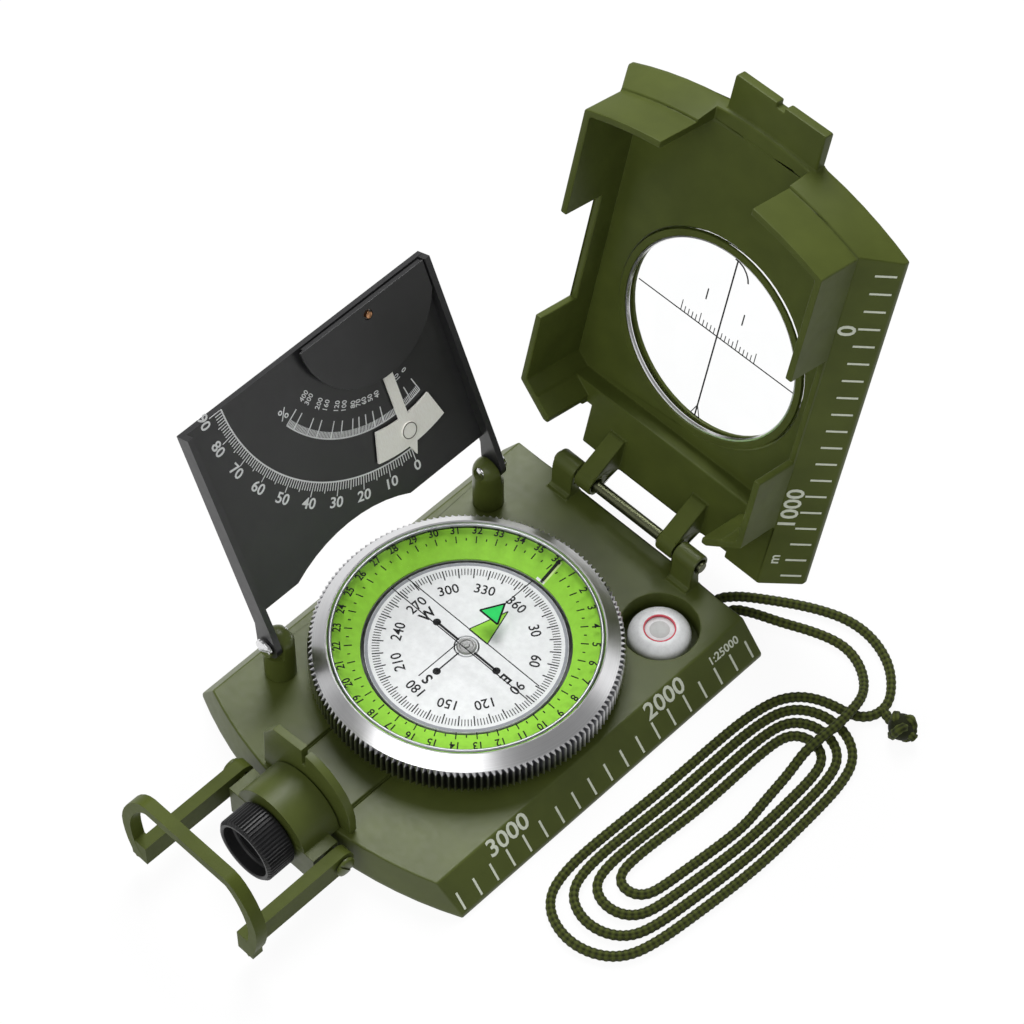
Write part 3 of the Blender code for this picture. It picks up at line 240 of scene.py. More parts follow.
class CompassSizes(bpy.types.PropertyGroup):
    focal_length: FloatProperty(
        name="Focal length", description="Lens of the camera on a 36 mm sensor, in millimetres",
        default=135.0, min=20.0)
    cord_diameter: FloatProperty(
        name="Cord", description="Thickness of the lanyard", default=1.8 * MM, unit="LENGTH")
    edge_round: FloatProperty(
        name="Edges", description="Width of the rounding on the castings' edges",
        default=0.32 * MM, unit="LENGTH")
    print_depth: FloatProperty(
        name="Print", description="Thickness of the printed marks", default=0.04 * MM, unit="LENGTH")
    tick_step: FloatProperty(
        name="Ruler step", description="Distance between the ruler's ticks", default=4.0 * MM, unit="LENGTH")
    knurl_teeth: IntProperty(
        name="Knurl", description="Number of teeth round the bezel", default=154, min=24)
    knurl_depth: FloatProperty(
        name="Knurl depth", description="Depth of the bezel's teeth", default=0.8 * MM, unit="LENGTH")
    flutes: IntProperty(
        name="Flutes", description="Number of flutes round the eyepiece", default=56, min=12)


def colour_property(label, words, value):
    return FloatVectorProperty(
        name=label, description=words, default=value, subtype="COLOR", min=0.0, max=1.0)


class CompassFinishes(bpy.types.PropertyGroup):
    olive: colour_property("Olive", "Paint of the castings", (0.072, 0.090, 0.018))
    dark_olive: colour_property("Dark olive", "Paint of posts, housing and sight", (0.060, 0.078, 0.014))
    black: colour_property("Black", "Clinometer and eyepiece", (0.018, 0.018, 0.019))
    white: colour_property("White", "Card, vial and white print", (0.80, 0.81, 0.82))
    ruler_white: colour_property("Ruler print", "Figures and ticks on the rulers", (0.66, 0.70, 0.58))
    ink: colour_property("Ink", "Black print on dial, card and window", (0.012, 0.012, 0.013))
    lime: colour_property("Lime", "Ring of the dial", (0.290, 0.630, 0.050))
    arrow_green: colour_property("Arrow green", "Arrow on the glass", (0.03, 0.62, 0.13))
    silver: colour_property("Silver", "Bezel and bright screws", (0.74, 0.74, 0.75))
    pale_silver: colour_property("Pale silver", "Pendulum", (1.0, 0.97, 0.90))
    copper: colour_property("Copper", "Pendulum's pin", (0.52, 0.27, 0.14))
    cord: colour_property("Cord", "Yarn of the lanyard", (0.055, 0.068, 0.012))
    red: colour_property("Red", "Ring on the level", (0.62, 0.02, 0.05))
    floor: colour_property("Floor", "Studio floor", (0.55, 0.55, 0.55))


def sizes():
    return bpy.context.scene.compass_sizes


def finishes():
    return bpy.context.scene.compass_finishes


# Materials

def new_material(name):
    material = bpy.data.materials.new(name)
    material.use_nodes = True
    tree = material.node_tree
    return material, tree, tree.nodes["Principled BSDF"]


def object_noise(tree, scale, detail=3.0, stretch=(1.0, 1.0, 1.0)):
    """Noise that is fixed to the piece; scale counts grains to the metre."""
    coordinates = tree.nodes.new("ShaderNodeTexCoord")
    mapping = tree.nodes.new("ShaderNodeMapping")
    mapping.inputs["Scale"].default_value = stretch
    noise = tree.nodes.new("ShaderNodeTexNoise")
    noise.inputs["Scale"].default_value = scale
    noise.inputs["Detail"].default_value = detail
    tree.links.new(coordinates.outputs["Object"], mapping.inputs["Vector"])
    tree.links.new(mapping.outputs["Vector"], noise.inputs["Vector"])
    return noise.outputs["Fac"]


def tint(colour, factor):
    return tuple(min(1.0, value * factor) for value in colour) + (1.0,)


def tones(tree, factor, socket, dark, light, low=0.3, high=0.7):
    ramp = tree.nodes.new("ShaderNodeValToRGB")
    ramp.color_ramp.elements[0].position = low
    ramp.color_ramp.elements[0].color = dark
    ramp.color_ramp.elements[1].position = high
    ramp.color_ramp.elements[1].color = light
    tree.links.new(factor, ramp.inputs["Fac"])
    tree.links.new(ramp.outputs["Color"], socket)


def spread(tree, factor, socket, low, high):
    scale = tree.nodes.new("ShaderNodeMapRange")
    scale.inputs["To Min"].default_value = low
    scale.inputs["To Max"].default_value = high
    tree.links.new(factor, scale.inputs["Value"])
    tree.links.new(scale.outputs["Result"], socket)


def relief(tree, shader, height, strength, distance):
    bump = tree.nodes.new("ShaderNodeBump")
    bump.inputs["Strength"].default_value = strength
    bump.inputs["Distance"].default_value = distance
    tree.links.new(height, bump.inputs["Height"])
    tree.links.new(bump.outputs["Normal"], shader.inputs["Normal"])


def largest(tree, value, *others):
    """The largest of several values."""
    for other in others:
        pair = tree.nodes.new("ShaderNodeMath")
        pair.operation = "MAXIMUM"
        tree.links.new(value, pair.inputs[0])
        tree.links.new(other, pair.inputs[1])
        value = pair.outputs["Value"]
    return value


def mix_surface(tree, share, first, second):
    """Makes the material's surface from two shaders."""
    mix = tree.nodes.new("ShaderNodeMixShader")
    tree.links.new(share, mix.inputs["Fac"])
    tree.links.new(first, mix.inputs[1])
    tree.links.new(second, mix.inputs[2])
    tree.links.new(mix.outputs["Shader"], tree.nodes["Material Output"].inputs["Surface"])


def paint_finish(name, colour, roughness=0.40, grain=0.10, gloss=0.28):
    """Satin paint on a casting: faint clouding, uneven gloss and a fine orange peel."""
    material, tree, shader = new_material(name)
    tones(tree, object_noise(tree, 160), shader.inputs["Base Color"], tint(colour, 0.9), tint(colour, 1.1))
    spread(tree, object_noise(tree, 700), shader.inputs["Roughness"], roughness - 0.06, roughness + 0.08)
    shader.inputs["Specular IOR Level"].default_value = gloss
    relief(tree, shader, object_noise(tree, 5200, 4.0), grain, 0.06 * MM)
    return material


def print_finish(name, colour, roughness=0.5, gloss=0.4):
    """Screen print or moulded plastic with a slightly uneven coat."""
    material, tree, shader = new_material(name)
    shader.inputs["Specular IOR Level"].default_value = gloss
    tones(tree, object_noise(tree, 900), shader.inputs["Base Color"], tint(colour, 0.94), tint(colour, 1.04))
    spread(tree, object_noise(tree, 2600), shader.inputs["Roughness"], roughness - 0.08, roughness + 0.08)
    return material


def metal_finish(name, colour, roughness=0.25, stretch=(1.0, 1.0, 1.0), metal=1.0):
    """Metal with fine marks that run along the axes with the smaller stretch."""
    material, tree, shader = new_material(name)
    shader.inputs["Metallic"].default_value = metal
    marks = object_noise(tree, 2400, 4.0, stretch)
    tones(tree, marks, shader.inputs["Base Color"], tint(colour, 0.9), tint(colour, 1.06))
    spread(tree, marks, shader.inputs["Roughness"], roughness - 0.05, roughness + 0.07)
    relief(tree, shader, marks, 0.04, 0.03 * MM)
    return material


def turned_finish(name, colour, roughness, shaded_valleys=False):
    """Metal turned about the dial's axis: its marks are rings, and shade is painted into its grooves."""
    material, tree, shader = new_material(name)
    shader.inputs["Metallic"].default_value = 1.0
    target = shader.inputs["Base Color"]
    if shaded_valleys:
        # Painted shade: the teeth's sunk valleys are darkened towards near black
        groove = tree.nodes.new("ShaderNodeAttribute")
        groove.attribute_name = "groove"
        valley_shade = tree.nodes.new("ShaderNodeMix")
        valley_shade.data_type = "RGBA"
        valley_shade.inputs["B"].default_value = (0.09, 0.09, 0.10, 1.0)
        deepen = tree.nodes.new("ShaderNodeMath")
        deepen.operation = "MULTIPLY"
        deepen.use_clamp = True
        deepen.inputs[1].default_value = 2.2
        tree.links.new(groove.outputs["Fac"], deepen.inputs[0])
        tree.links.new(deepen.outputs["Value"], valley_shade.inputs["Factor"])
        tree.links.new(valley_shade.outputs["Result"], target)
        target = valley_shade.inputs["A"]
    coordinates = tree.nodes.new("ShaderNodeTexCoord")
    flat = tree.nodes.new("ShaderNodeMapping")
    flat.inputs["Scale"].default_value = (1.0, 1.0, 0.0)
    radius = tree.nodes.new("ShaderNodeVectorMath")
    radius.operation = "LENGTH"
    rings = tree.nodes.new("ShaderNodeTexNoise")
    rings.noise_dimensions = "1D"
    rings.inputs["Scale"].default_value = 6000.0
    rings.inputs["Detail"].default_value = 3.0
    tree.links.new(coordinates.outputs["Object"], flat.inputs["Vector"])
    tree.links.new(flat.outputs["Vector"], radius.inputs[0])
    tree.links.new(radius.outputs["Value"], rings.inputs["W"])
    tones(tree, rings.outputs["Fac"], target, tint(colour, 0.94), tint(colour, 1.05))
    spread(tree, object_noise(tree, 500), shader.inputs["Roughness"], roughness - 0.05, roughness + 0.05)
    relief(tree, shader, rings.outputs["Fac"], 0.05, 0.02 * MM)
    return material


def glass_finish(name, bend=1.12, haze=0.02):
    """Clear glass that lets light straight through to what lies under it."""
    material, tree, shader = new_material(name)
    dark, light = tint(GLASS_TINT, 0.985), tint(GLASS_TINT, 1.0)
    tones(tree, object_noise(tree, 300), shader.inputs["Base Color"], dark, light)
    shader.inputs["Roughness"].default_value = haze
    shader.inputs["Transmission Weight"].default_value = 1.0
    shader.inputs["IOR"].default_value = bend
    clear = tree.nodes.new("ShaderNodeBsdfTransparent")
    path = tree.nodes.new("ShaderNodeLightPath").outputs
    straight = largest(tree, path["Is Shadow Ray"], path["Is Diffuse Ray"], path["Is Glossy Ray"])
    mix_surface(tree, straight, shader.outputs["BSDF"], clear.outputs["BSDF"])
    return material


def braid_finish(name, colour):
    """Yarn with painted shade between the plaits and a painted highlight on them, with fine fibres on them.
    """
    material, tree, shader = new_material(name)
    plait = tree.nodes.new("ShaderNodeAttribute")
    plait.attribute_name = "plait"
    # Painted shade between the plaits, painted highlight on their crests
    dark, light = tint(colour, 0.22), tint(colour, 1.35)
    tones(tree, plait.outputs["Fac"], shader.inputs["Base Color"], dark, light, 0.1, 0.9)
    shader.inputs["Roughness"].default_value = 0.78
    shader.inputs["Specular IOR Level"].default_value = 0.15
    shader.inputs["Sheen Weight"].default_value = 0.08
    relief(tree, shader, object_noise(tree, 9000, 4.0), 0.35, 0.05 * MM)
    return material


# Modelling helpers

def mm(points):
    """Points written in millimetres, in metres."""
    return [tuple(value * MM for value in point) for point in points]


def stroke(x0, y0, x1, y1, width):
    """A printed line written in millimetres."""
    return ((x0 * MM, y0 * MM), (x1 * MM, y1 * MM), width * MM)


def tick(angle, inner, outer, width):
    """A printed line that points away from the dial's axis, written in millimetres."""
    return stroke(sin(angle) * inner, cos(angle) * inner, sin(angle) * outer, cos(angle) * outer, width)


def quarter(steps):
    """Angles from upright to level."""
    return [pi / 2 * i / steps for i in range(steps + 1)]


def new_piece(name, data):
    """A new object in the scene."""
    piece = bpy.data.objects.new(name, data)
    bpy.context.scene.collection.objects.link(piece)
    return piece


def choose(*pieces):
    """Object mode with only these pieces selected, the first one active."""
    if bpy.context.object and bpy.context.object.mode != "OBJECT":
        bpy.ops.object.mode_set(mode="OBJECT")
    bpy.ops.object.select_all(action="DESELECT")
    for piece in pieces:
        piece.select_set(True)
    bpy.context.view_layer.objects.active = pieces[0] if pieces else None


def clean(piece, merge=0.001 * MM, outwards=True):
    """Merges doubled points and turns the faces outwards."""
    choose(piece)
    bpy.ops.object.mode_set(mode="EDIT")
    bpy.ops.mesh.select_all(action="SELECT")
    bpy.ops.mesh.remove_doubles(threshold=merge)
    if outwards:
        bpy.ops.mesh.normals_make_consistent(inside=False)
    bpy.ops.object.mode_set(mode="OBJECT")


def shade(piece, angle=35):
    choose(piece)
    bpy.ops.object.shade_smooth_by_angle(angle=radians(angle))


def settle(piece, place):
    """Moves a piece's mesh to its place and leaves the object at the origin."""
    choose(piece)
    bpy.ops.object.transform_apply(location=True, rotation=True, scale=True)
    piece.data.transform(place)


def dress(piece, material, body, slot, *nodes):
    """Gives a finished piece its material and its body, and hides the nodes that it stands for."""
    piece.data.materials.clear()
    piece.data.materials.append(material)
    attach(piece, body)
    if nodes:
        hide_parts(*nodes)
    return piece


def keep_node(node, material):
    """A solid whose shape is right stays, with a better finish."""
    data = frame["nodes"][node].data
    data.materials.clear()
    data.materials.append(material)


def solid_copy(node, name, merge=0.12 * MM):
    """A merged copy of a solid, to be worked on."""
    piece = new_piece(name, frame["nodes"][node].data.copy())
    choose(piece)
    bpy.ops.object.mode_set(mode="EDIT")
    bpy.ops.mesh.select_all(action="SELECT")
    bpy.ops.mesh.customdata_custom_splitnormals_clear()
    bpy.ops.mesh.remove_doubles(threshold=merge)
    bpy.ops.mesh.dissolve_limited(angle_limit=radians(0.8))
    bpy.ops.object.mode_set(mode="OBJECT")
    return piece


def apply_modifier(piece, modifier):
    choose(piece)
    bpy.ops.object.modifier_apply(modifier=modifier.name)


def skin(piece):
    """A piece's surface as it is now, for finding the nearest point on it."""
    mesh = piece.data
    mesh.calc_loop_triangles()
    return BVHTree.FromPolygons([vert.co.copy() for vert in mesh.vertices],
                                [tuple(triangle.vertices) for triangle in mesh.loop_triangles])


def soften(piece, width, segments=2, angle=28, clamp=True):
    """Rounds a casting's edges and evens out its shading."""
    choose(piece)
    bpy.ops.object.mode_set(mode="EDIT")
    bpy.ops.mesh.select_mode(type="FACE")
    bpy.ops.mesh.select_all(action="DESELECT")
    work = bmesh.from_edit_mesh(piece.data)
    for face in work.faces:
        face.select = not all(loop.is_convex for loop in face.loops)
    bmesh.update_edit_mesh(piece.data)
    bpy.ops.mesh.quads_convert_to_tris(quad_method="BEAUTY", ngon_method="BEAUTY")
    bpy.ops.object.mode_set(mode="OBJECT")
    before = skin(piece)
    bevel = piece.modifiers.new("edges", "BEVEL")
    bevel.width = width
    bevel.segments = segments
    bevel.limit_method = "ANGLE"
    bevel.angle_limit = radians(angle)
    bevel.use_clamp_overlap = clamp
    apply_modifier(piece, bevel)
    for vert in piece.data.vertices:
        spot, _, _, gap = before.find_nearest(vert.co)
        if gap > width / 2:
            vert.co = spot
    clean(piece, 0.002 * MM, outwards=False)
    shade(piece, 40)
    even = piece.modifiers.new("even", "WEIGHTED_NORMAL")
    even.keep_sharp = True
    apply_modifier(piece, even)
    return piece


def casting(node, name, material, body, slot, width=None, merge=0.12 * MM):
    piece = soften(solid_copy(node, name, merge), width or sizes().edge_round)
    return dress(piece, material, body, slot, node)


def lathe(name, profile, steps, closed=False):
    """A (radius, height) profile in metres turned about Z."""
    mesh = bpy.data.meshes.new(name)
    edges = [(i, i + 1) for i in range(len(profile) - 1)]
    if closed:
        edges.append((len(profile) - 1, 0))
    mesh.from_pydata([(radius, 0.0, height) for radius, height in profile], edges, [])
    piece = new_piece(name, mesh)
    screw = piece.modifiers.new("turn", "SCREW")
    screw.steps = steps
    screw.render_steps = steps
    screw.use_merge_vertices = True
    screw.merge_threshold = 0.001 * MM
    apply_modifier(piece, screw)
    clean(piece)
    return piece


def turned(name, profile, steps, place, material, body, slot, *nodes, closed=False, angle=35):
    """A piece turned on a lathe, put in its place, shaded and dressed."""
    piece = lathe(name, profile, steps, closed)
    settle(piece, place)
    shade(piece, angle)
    return dress(piece, material, body, slot, *nodes)


def cut_teeth(piece, radius, margin, depth, count, steps):
    """Sinks the second half of each tooth's steps round a turned piece, and lists the sunk points."""
    sunk = []
    for vert in piece.data.vertices:
        reach = hypot(vert.co.x, vert.co.y)
        if reach > radius - margin:
            turn = (degrees(Vector((vert.co.x, vert.co.y)).angle_signed(Vector((1.0, 0.0)))) % 360) / 360
            if round(turn * count * steps) % steps >= steps / 2:
                vert.co.x *= (radius - depth) / reach
                vert.co.y *= (radius - depth) / reach
                sunk.append(vert.index)
    return sunk


def stamp(name, shape, places):
    """Copies of one small shape, each at its own place, in a mesh of their own."""
    work = bmesh.new()
    for place in places:
        before = len(work.verts)
        work.from_mesh(shape)
        work.verts.ensure_lookup_table()
        bmesh.ops.transform(work, matrix=place, verts=work.verts[before:])
    mesh = bpy.data.meshes.new(name)
    work.to_mesh(mesh)
    work.free()
    return new_piece(name, mesh)


def unit_bar():
    """A bar of one metre each way, scaled by each place that it is stamped at."""
    choose()
    bpy.ops.mesh.primitive_cube_add(size=1.0)
    bar = bpy.context.object
    mesh = bar.data
    bpy.data.objects.remove(bar)
    return mesh


def plane(origin, right, normal):
    """A frame on a surface: x to the right, y up, z out of it."""
    normal = Vector(normal).normalized()
    right = Vector(right).normalized()
    up = normal.cross(right)
    turn = Matrix((right, up, normal)).transposed().to_4x4()
    return Matrix.Translation(origin) @ turn


def bar_place(start, end, width, depth):
    """Where a bar between two points of a surface's own plane stands, half sunk into it."""
    start, end = Vector((*start, 0.0)), Vector((*end, 0.0))
    run = end - start
    turn = Matrix.Rotation(run.to_2d().angle_signed(Vector((1.0, 0.0))), 4, "Z")
    return Matrix.Translation((start + end) / 2) @ turn @ Matrix.Diagonal((run.length, width, depth, 1.0))


def bars(name, lines, surface):
    """Printed lines, each (start, end, width) in a surface's plane."""
    depth = 2 * sizes().print_depth
    shape = unit_bar()
    places = [surface @ bar_place(start, end, width, depth) for start, end, width in lines]
    piece = stamp(name, shape, places)
    bpy.data.meshes.remove(shape)
    return piece


def lettering(words, height, place, weight=0.0, squeeze=1.0):
    """Flat figures centred on a place, as tall as height, as a mesh."""
    choose()
    bpy.ops.object.text_add()
    text = bpy.context.object
    text.data.body = words
    text.data.size = height / FIGURE_HEIGHT
    text.data.align_x = "CENTER"
    text.data.align_y = "CENTER"
    text.data.extrude = sizes().print_depth
    text.data.offset = weight * height
    text.data.resolution_u = 3
    bpy.ops.object.convert(target="MESH")
    text.data.transform(place @ Matrix.Diagonal((squeeze, 1.0, 1.0, 1.0)))
    return text


def round_label(words, angle, radius, level, height, weight, squeeze):
    """Figures on a level plane that stand upright seen from the dial's axis."""
    out = Vector((sin(angle), cos(angle), 0.0))
    spot = plane(out * radius * MM + Vector((0, 0, level)), out.cross(Vector((0, 0, 1))), (0, 0, 1))
    return lettering(words, height * MM, spot, weight, squeeze)


def merge_pieces(name, pieces):
    choose(*pieces)
    bpy.ops.object.join()
    piece = bpy.context.object
    piece.name = name
    piece.data.name = name
    clean(piece, 0.0005 * MM, outwards=False)
    return piece


def circle_points(centre, radius, start, end, count):
    angles = [start + (end - start) * i / count for i in range(count + 1)]
    return [(centre[0] + radius * sin(a), centre[1] + radius * cos(a)) for a in angles]


def chain(points, width):
    return [(a, b, width) for a, b in zip(points, points[1:])]


def disc(name, radius, place):
    choose()
    bpy.ops.mesh.primitive_cylinder_add(vertices=24, radius=radius, depth=2 * sizes().print_depth)
    piece = bpy.context.object
    piece.name = name
    piece.data.transform(place)
    return piece


def flat_shape(name, outline, surface):
    """A filled outline, printed on a surface."""
    curve = bpy.data.curves.new(name, "CURVE")
    curve.dimensions = "2D"
    curve.fill_mode = "BOTH"
    curve.extrude = sizes().print_depth
    spline = curve.splines.new("POLY")
    spline.points.add(len(outline) - 1)
    for point, (x, y) in zip(spline.points, outline):
        point.co = (x, y, 0.0, 1.0)
    spline.use_cyclic_u = True
    piece = new_piece(name, curve)
    choose(piece)
    bpy.ops.object.convert(target="MESH")
    piece = bpy.context.object
    piece.data.transform(surface)
    clean(piece)
    return piece


def subtract(piece, tool):
    cut = piece.modifiers.new("cut", "BOOLEAN")
    cut.object = tool
    cut.operation = "DIFFERENCE"
    cut.solver = "EXACT"
    apply_modifier(piece, cut)
    bpy.data.objects.remove(tool)


def cutter(low, high):
    choose()
    centre = [(a + b) / 2 for a, b in zip(low, high)]
    bpy.ops.mesh.primitive_cube_add(size=1.0, location=centre, scale=[b - a for a, b in zip(low, high)])
    return bpy.context.object


# Lanyard

def hank_points():
    points = [(x, y, CORD_LIE) for x, y in HANK_LEAD_IN]
    for i in range(1, round(HANK_TURNS * HANK_POINTS_PER_LOOP) + 1):
        turn = i / HANK_POINTS_PER_LOOP
        angle = pi / 2 + 2 * pi * turn
        half_width = HANK_HALF_WIDTH - HANK_WIDTH_STEP * turn
        near = HANK_NEAR_END + HANK_NEAR_STEP * turn
        far = HANK_FAR_END - HANK_FAR_STEP * turn
        run = (far - near) / 2 - half_width
        along = copysign(1.0 - (1.0 - abs(sin(angle))) ** HANK_FULLNESS, sin(angle))
        x = HANK_CENTRE_X + half_width * cos(angle) + HANK_NEAR_LEAN * min(along, 0.0)
        points.append((x, (far + near) / 2 + run * along + half_width * sin(angle), CORD_LIE))
    return points


def route_length(route):
    return sum((q - p).length for p, q in zip(route, route[1:]))


def smooth_route(points):
    """Points about a braid's step apart on a smooth curve through the given ones, in metres."""
    points = [Vector(point) * MM for point in points]
    padded = [points[0]] + points + [points[-1]]
    dense = []
    for a, b, c, d in zip(padded, padded[1:], padded[2:], padded[3:]):
        for i in range(24):
            t = i / 24
            dense.append(0.5 * (2 * b + (c - a) * t + (2 * a - 5 * b + 4 * c - d) * t * t
                                + (3 * b - a - 3 * c + d) * t ** 3))
    dense.append(points[-1])
    length = route_length(dense)
    count = max(3, round(length / BRAID_STEP))
    step = length / count
    route, walked = [dense[0]], 0.0
    for p, q in zip(dense, dense[1:]):
        run = (q - p).length
        while len(route) < count and walked + run >= step * len(route):
            route.append(p.lerp(q, (step * len(route) - walked) / run))
        walked += run
    return route + [dense[-1]]


def relaxed(route):
    """A limp cord's route, with its tight corners eased; both ends stay where they are."""
    for _ in range(RELAX_PASSES):
        eased = list(route)
        for i in range(RELAX_END, len(route) - RELAX_END):
            total, share = Vector(), 0
            for j in range(-RELAX_SPAN, RELAX_SPAN + 1):
                weight = RELAX_SPAN + 1 - abs(j)
                total += route[i + j] * weight
                share += weight
            eased[i] = total / share
        route = eased
    return route


def braided_tube(name, route, radius):
    """A tube along a route whose skin is plaited from two sets of crossing yarns."""
    work = bmesh.new()
    plait = work.verts.layers.float.new("plait")
    side = None
    rings = []
    walked = 0.0
    for i, point in enumerate(route):
        along = (route[min(i + 1, len(route) - 1)] - route[max(i - 1, 0)]).normalized()
        if side is None:
            side = along.cross(Vector((0.0, 0.0, 1.0)))
        side = (side - along * side.dot(along)).normalized()
        over = along.cross(side)
        if i:
            walked += (point - route[i - 1]).length
        ring = []
        for k in range(BRAID_SIDES):
            angle = 2 * pi * k / BRAID_SIDES
            run = 2 * pi * walked / BRAID_PITCH
            height = sin(BRAID_STRANDS * angle + run) * sin(BRAID_STRANDS * angle - run)
            swell = radius * (1.0 - BRAID_DEPTH / 2 + BRAID_DEPTH * height)
            vert = work.verts.new(point + (side * cos(angle) + over * sin(angle)) * swell)
            vert[plait] = 0.5 + 0.5 * height
            ring.append(vert)
        rings.append(ring)
    for a, b in zip(rings, rings[1:]):
        for k in range(BRAID_SIDES):
            n = (k + 1) % BRAID_SIDES
            work.faces.new((a[k], a[n], b[n], b[k]))
    work.faces.new(rings[0][::-1])
    work.faces.new(rings[-1])
    bmesh.ops.recalc_face_normals(work, faces=work.faces)
    mesh = bpy.data.meshes.new(name)
    work.to_mesh(mesh)
    work.free()
    piece = new_piece(name, mesh)
    shade(piece, 60)
    return piece


class COMPASS_OT_camera(bpy.types.Operator):
    """Place the camera where the photograph was taken from"""
    bl_idname = "compass.camera"
    bl_label = "Camera"

    def execute(self, context):
        choose()
        bpy.ops.object.camera_add()
        camera = context.object
        camera.data.lens = sizes().focal_length
        camera.data.sensor_width = 36.0
        camera.data.clip_start = 0.01
        turn = Matrix((CAMERA_RIGHT, CAMERA_UP, CAMERA_BACK)).transposed().to_4x4()
        camera.matrix_world = Matrix.Translation(CAMERA_PLACE) @ turn
        context.scene.camera = camera
        return {"FINISHED"}


class COMPASS_OT_lanyard(bpy.types.Operator):
    """Lay the braided lanyard and tie its knot"""
    bl_idname = "compass.lanyard"
    bl_label = "Lanyard"

    def execute(self, context):
        yarn = braid_finish("braided_yarn", finishes().cord)
        diameter = sizes().cord_diameter
        route = relaxed(smooth_route(STRAND_A + hank_points()[:-1] + STRAND_B[::-1]))
        cord = braided_tube("lanyard_cord", route, diameter / 2)
        dress(cord, yarn, "base", "cord", "cord_strand_a", "cord_strand_b", "cord_hank")
        turns = braided_tube("lanyard_knot_turns", smooth_route(self.knot_points()), diameter / 2)
        tail = braided_tube("lanyard_tail", smooth_route(TAIL), diameter / 2)
        stub = braided_tube("lanyard_stub", smooth_route(KNOT_END), diameter / 2 * KNOT_END_SHARE)
        half = mm((KNOT_HEART * sin(a), KNOT_HEART * cos(a)) for a in quarter(9))
        heart = lathe("lanyard_heart", half + [(r, -z) for r, z in half[-2::-1]], 36)
        settle(heart, Matrix.Translation(Vector(KNOT_CENTRE) * MM))
        shade(heart)
        knot = merge_pieces("lanyard_knot", [turns, tail, stub, heart])
        dress(knot, yarn, "base", "cord", "cord_tail", "cord_knot")
        return {"FINISHED"}

    def knot_points(self):
        """An overhand knot pulled tight: a closed knotted loop."""
        across, along, high = KNOT_REACH
        points = []
        for i in range(61):
            a = 2 * pi * i / 60
            points.append((KNOT_CENTRE[0] + across * (sin(a) + 2 * sin(2 * a)),
                           KNOT_CENTRE[1] + along * (cos(a) - 2 * cos(2 * a)),
                           KNOT_CENTRE[2] - high * sin(3 * a)))
        return points


class COMPASS_OT_base(bpy.types.Operator):
    """Cast the base and fit its cover, hinge pin and lanyard bar"""
    bl_idname = "compass.base"
    bl_label = "Base"

    def execute(self, context):
        olive = paint_finish("olive_paint", finishes().olive)
        dark = paint_finish("dark_olive_paint", finishes().dark_olive)
        pin = metal_finish("hinge_olive", HINGE_OLIVE, 0.36)
        body = solid_copy("base_body", "base_casting")
        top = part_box("base_body")[0].z + BASE_BEVEL[1][1]
        for x in BASE_SEAMS:
            low = (x - 0.2 * MM, -36.6 * MM, top - 0.35 * MM)
            subtract(body, cutter(low, (x + 0.2 * MM, -25.0 * MM, top + MM)))
        soften(body, sizes().edge_round, clamp=False)
        dress(body, olive, "base", "body_paint", "base_body")
        casting("bottom_cover", "bottom_plate", dark, "base", "dark_paint")
        casting("lanyard_anchor", "lanyard_bar", dark, "base", "dark_paint", 0.25 * MM)
        casting("hinge_pin", "hinge_rod", pin, "base", "steel", 0.2 * MM)
        return {"FINISHED"}


def ruler_marks(name, bevel, ticks, reach, words, place, material, body):
    """White ticks from the outer edge of a bevel, with figures above them."""
    (low_x, low_z), (high_x, high_z) = bevel
    slope = Vector((high_x - low_x, 0.0, high_z - low_z)).normalized()
    along = Vector((0.0, 1.0, 0.0))
    surface = place @ plane((low_x, 0.0, low_z), along, along.cross(slope))
    lines = [((y, reach[0]), (y, reach[1]), TICK_WIDTH) for y in ticks]
    pieces = [bars(name, lines, surface)]
    for text, y, up, height in words:
        spot = surface @ Matrix.Translation((y * MM, up * MM, 0.0))
        pieces.append(lettering(text, height * MM, spot, 0.022, 1.08))
    piece = merge_pieces(name, pieces)
    return dress(piece, material, body, "white_plastic")


class COMPASS_OT_rulers(bpy.types.Operator):
    """Print the map rulers on the base and on the lid"""
    bl_idname = "compass.rulers"
    bl_label = "Rulers"

    def execute(self, context):
        white = print_finish("ruler_print", finishes().ruler_white)
        ticks = [BASE_FIRST_TICK - sizes().tick_step * i for i in range(RULER_TICKS)]
        level = Matrix.Identity(4)
        ruler_marks("base_ruler", BASE_BEVEL, ticks, BASE_TICK, BASE_WORDS, level, white, "base")
        ticks = [LID_FIRST_TICK - LID_TICK_STEP * i for i in range(RULER_TICKS)]
        ruler_marks("lid_ruler", LID_BEVEL, ticks, LID_TICK, LID_WORDS, LID_FRAME, white, "lid")
        return {"FINISHED"}


class COMPASS_OT_level(bpy.types.Operator):
    """Build the round level with its ring and bubble"""
    bl_idname = "compass.level"
    bl_label = "Level"

    def execute(self, context):
        low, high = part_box("level_vial")
        place = Matrix.Translation(((low.x + high.x) / 2, (low.y + high.y) / 2, high.z))
        radius, deep = (high.x - low.x) / 2, low.z - high.z
        pocket, floor = LEVEL_POCKET
        rim = [(pocket + (radius - pocket) * sin(a), LEVEL_FALL * (cos(a) - 1)) for a in quarter(12)]
        cup = [(0, floor), (pocket, floor)] + rim + [(radius, deep), (0, deep)]
        white = print_finish("vial_white", finishes().white, 0.28)
        red = print_finish("level_red", finishes().red, 0.35)
        grey = print_finish("bubble_grey", BUBBLE_GREY, 0.4)
        glass = glass_finish("level_glass", 1.07, 0.2)
        turned("level_cup", cup, 64, place, white, "base", "white_plastic", "level_vial")
        turned("level_ring", mm(LEVEL_RING), 64, place, red, "base", "white_plastic", closed=True)
        turned("level_bubble", mm(LEVEL_BUBBLE), 48, place, grey, "base", "white_plastic")
        turned("level_dome", mm(LEVEL_DOME), 48, place, glass, "base", "clear", "level_lens")
        return {"FINISHED"}


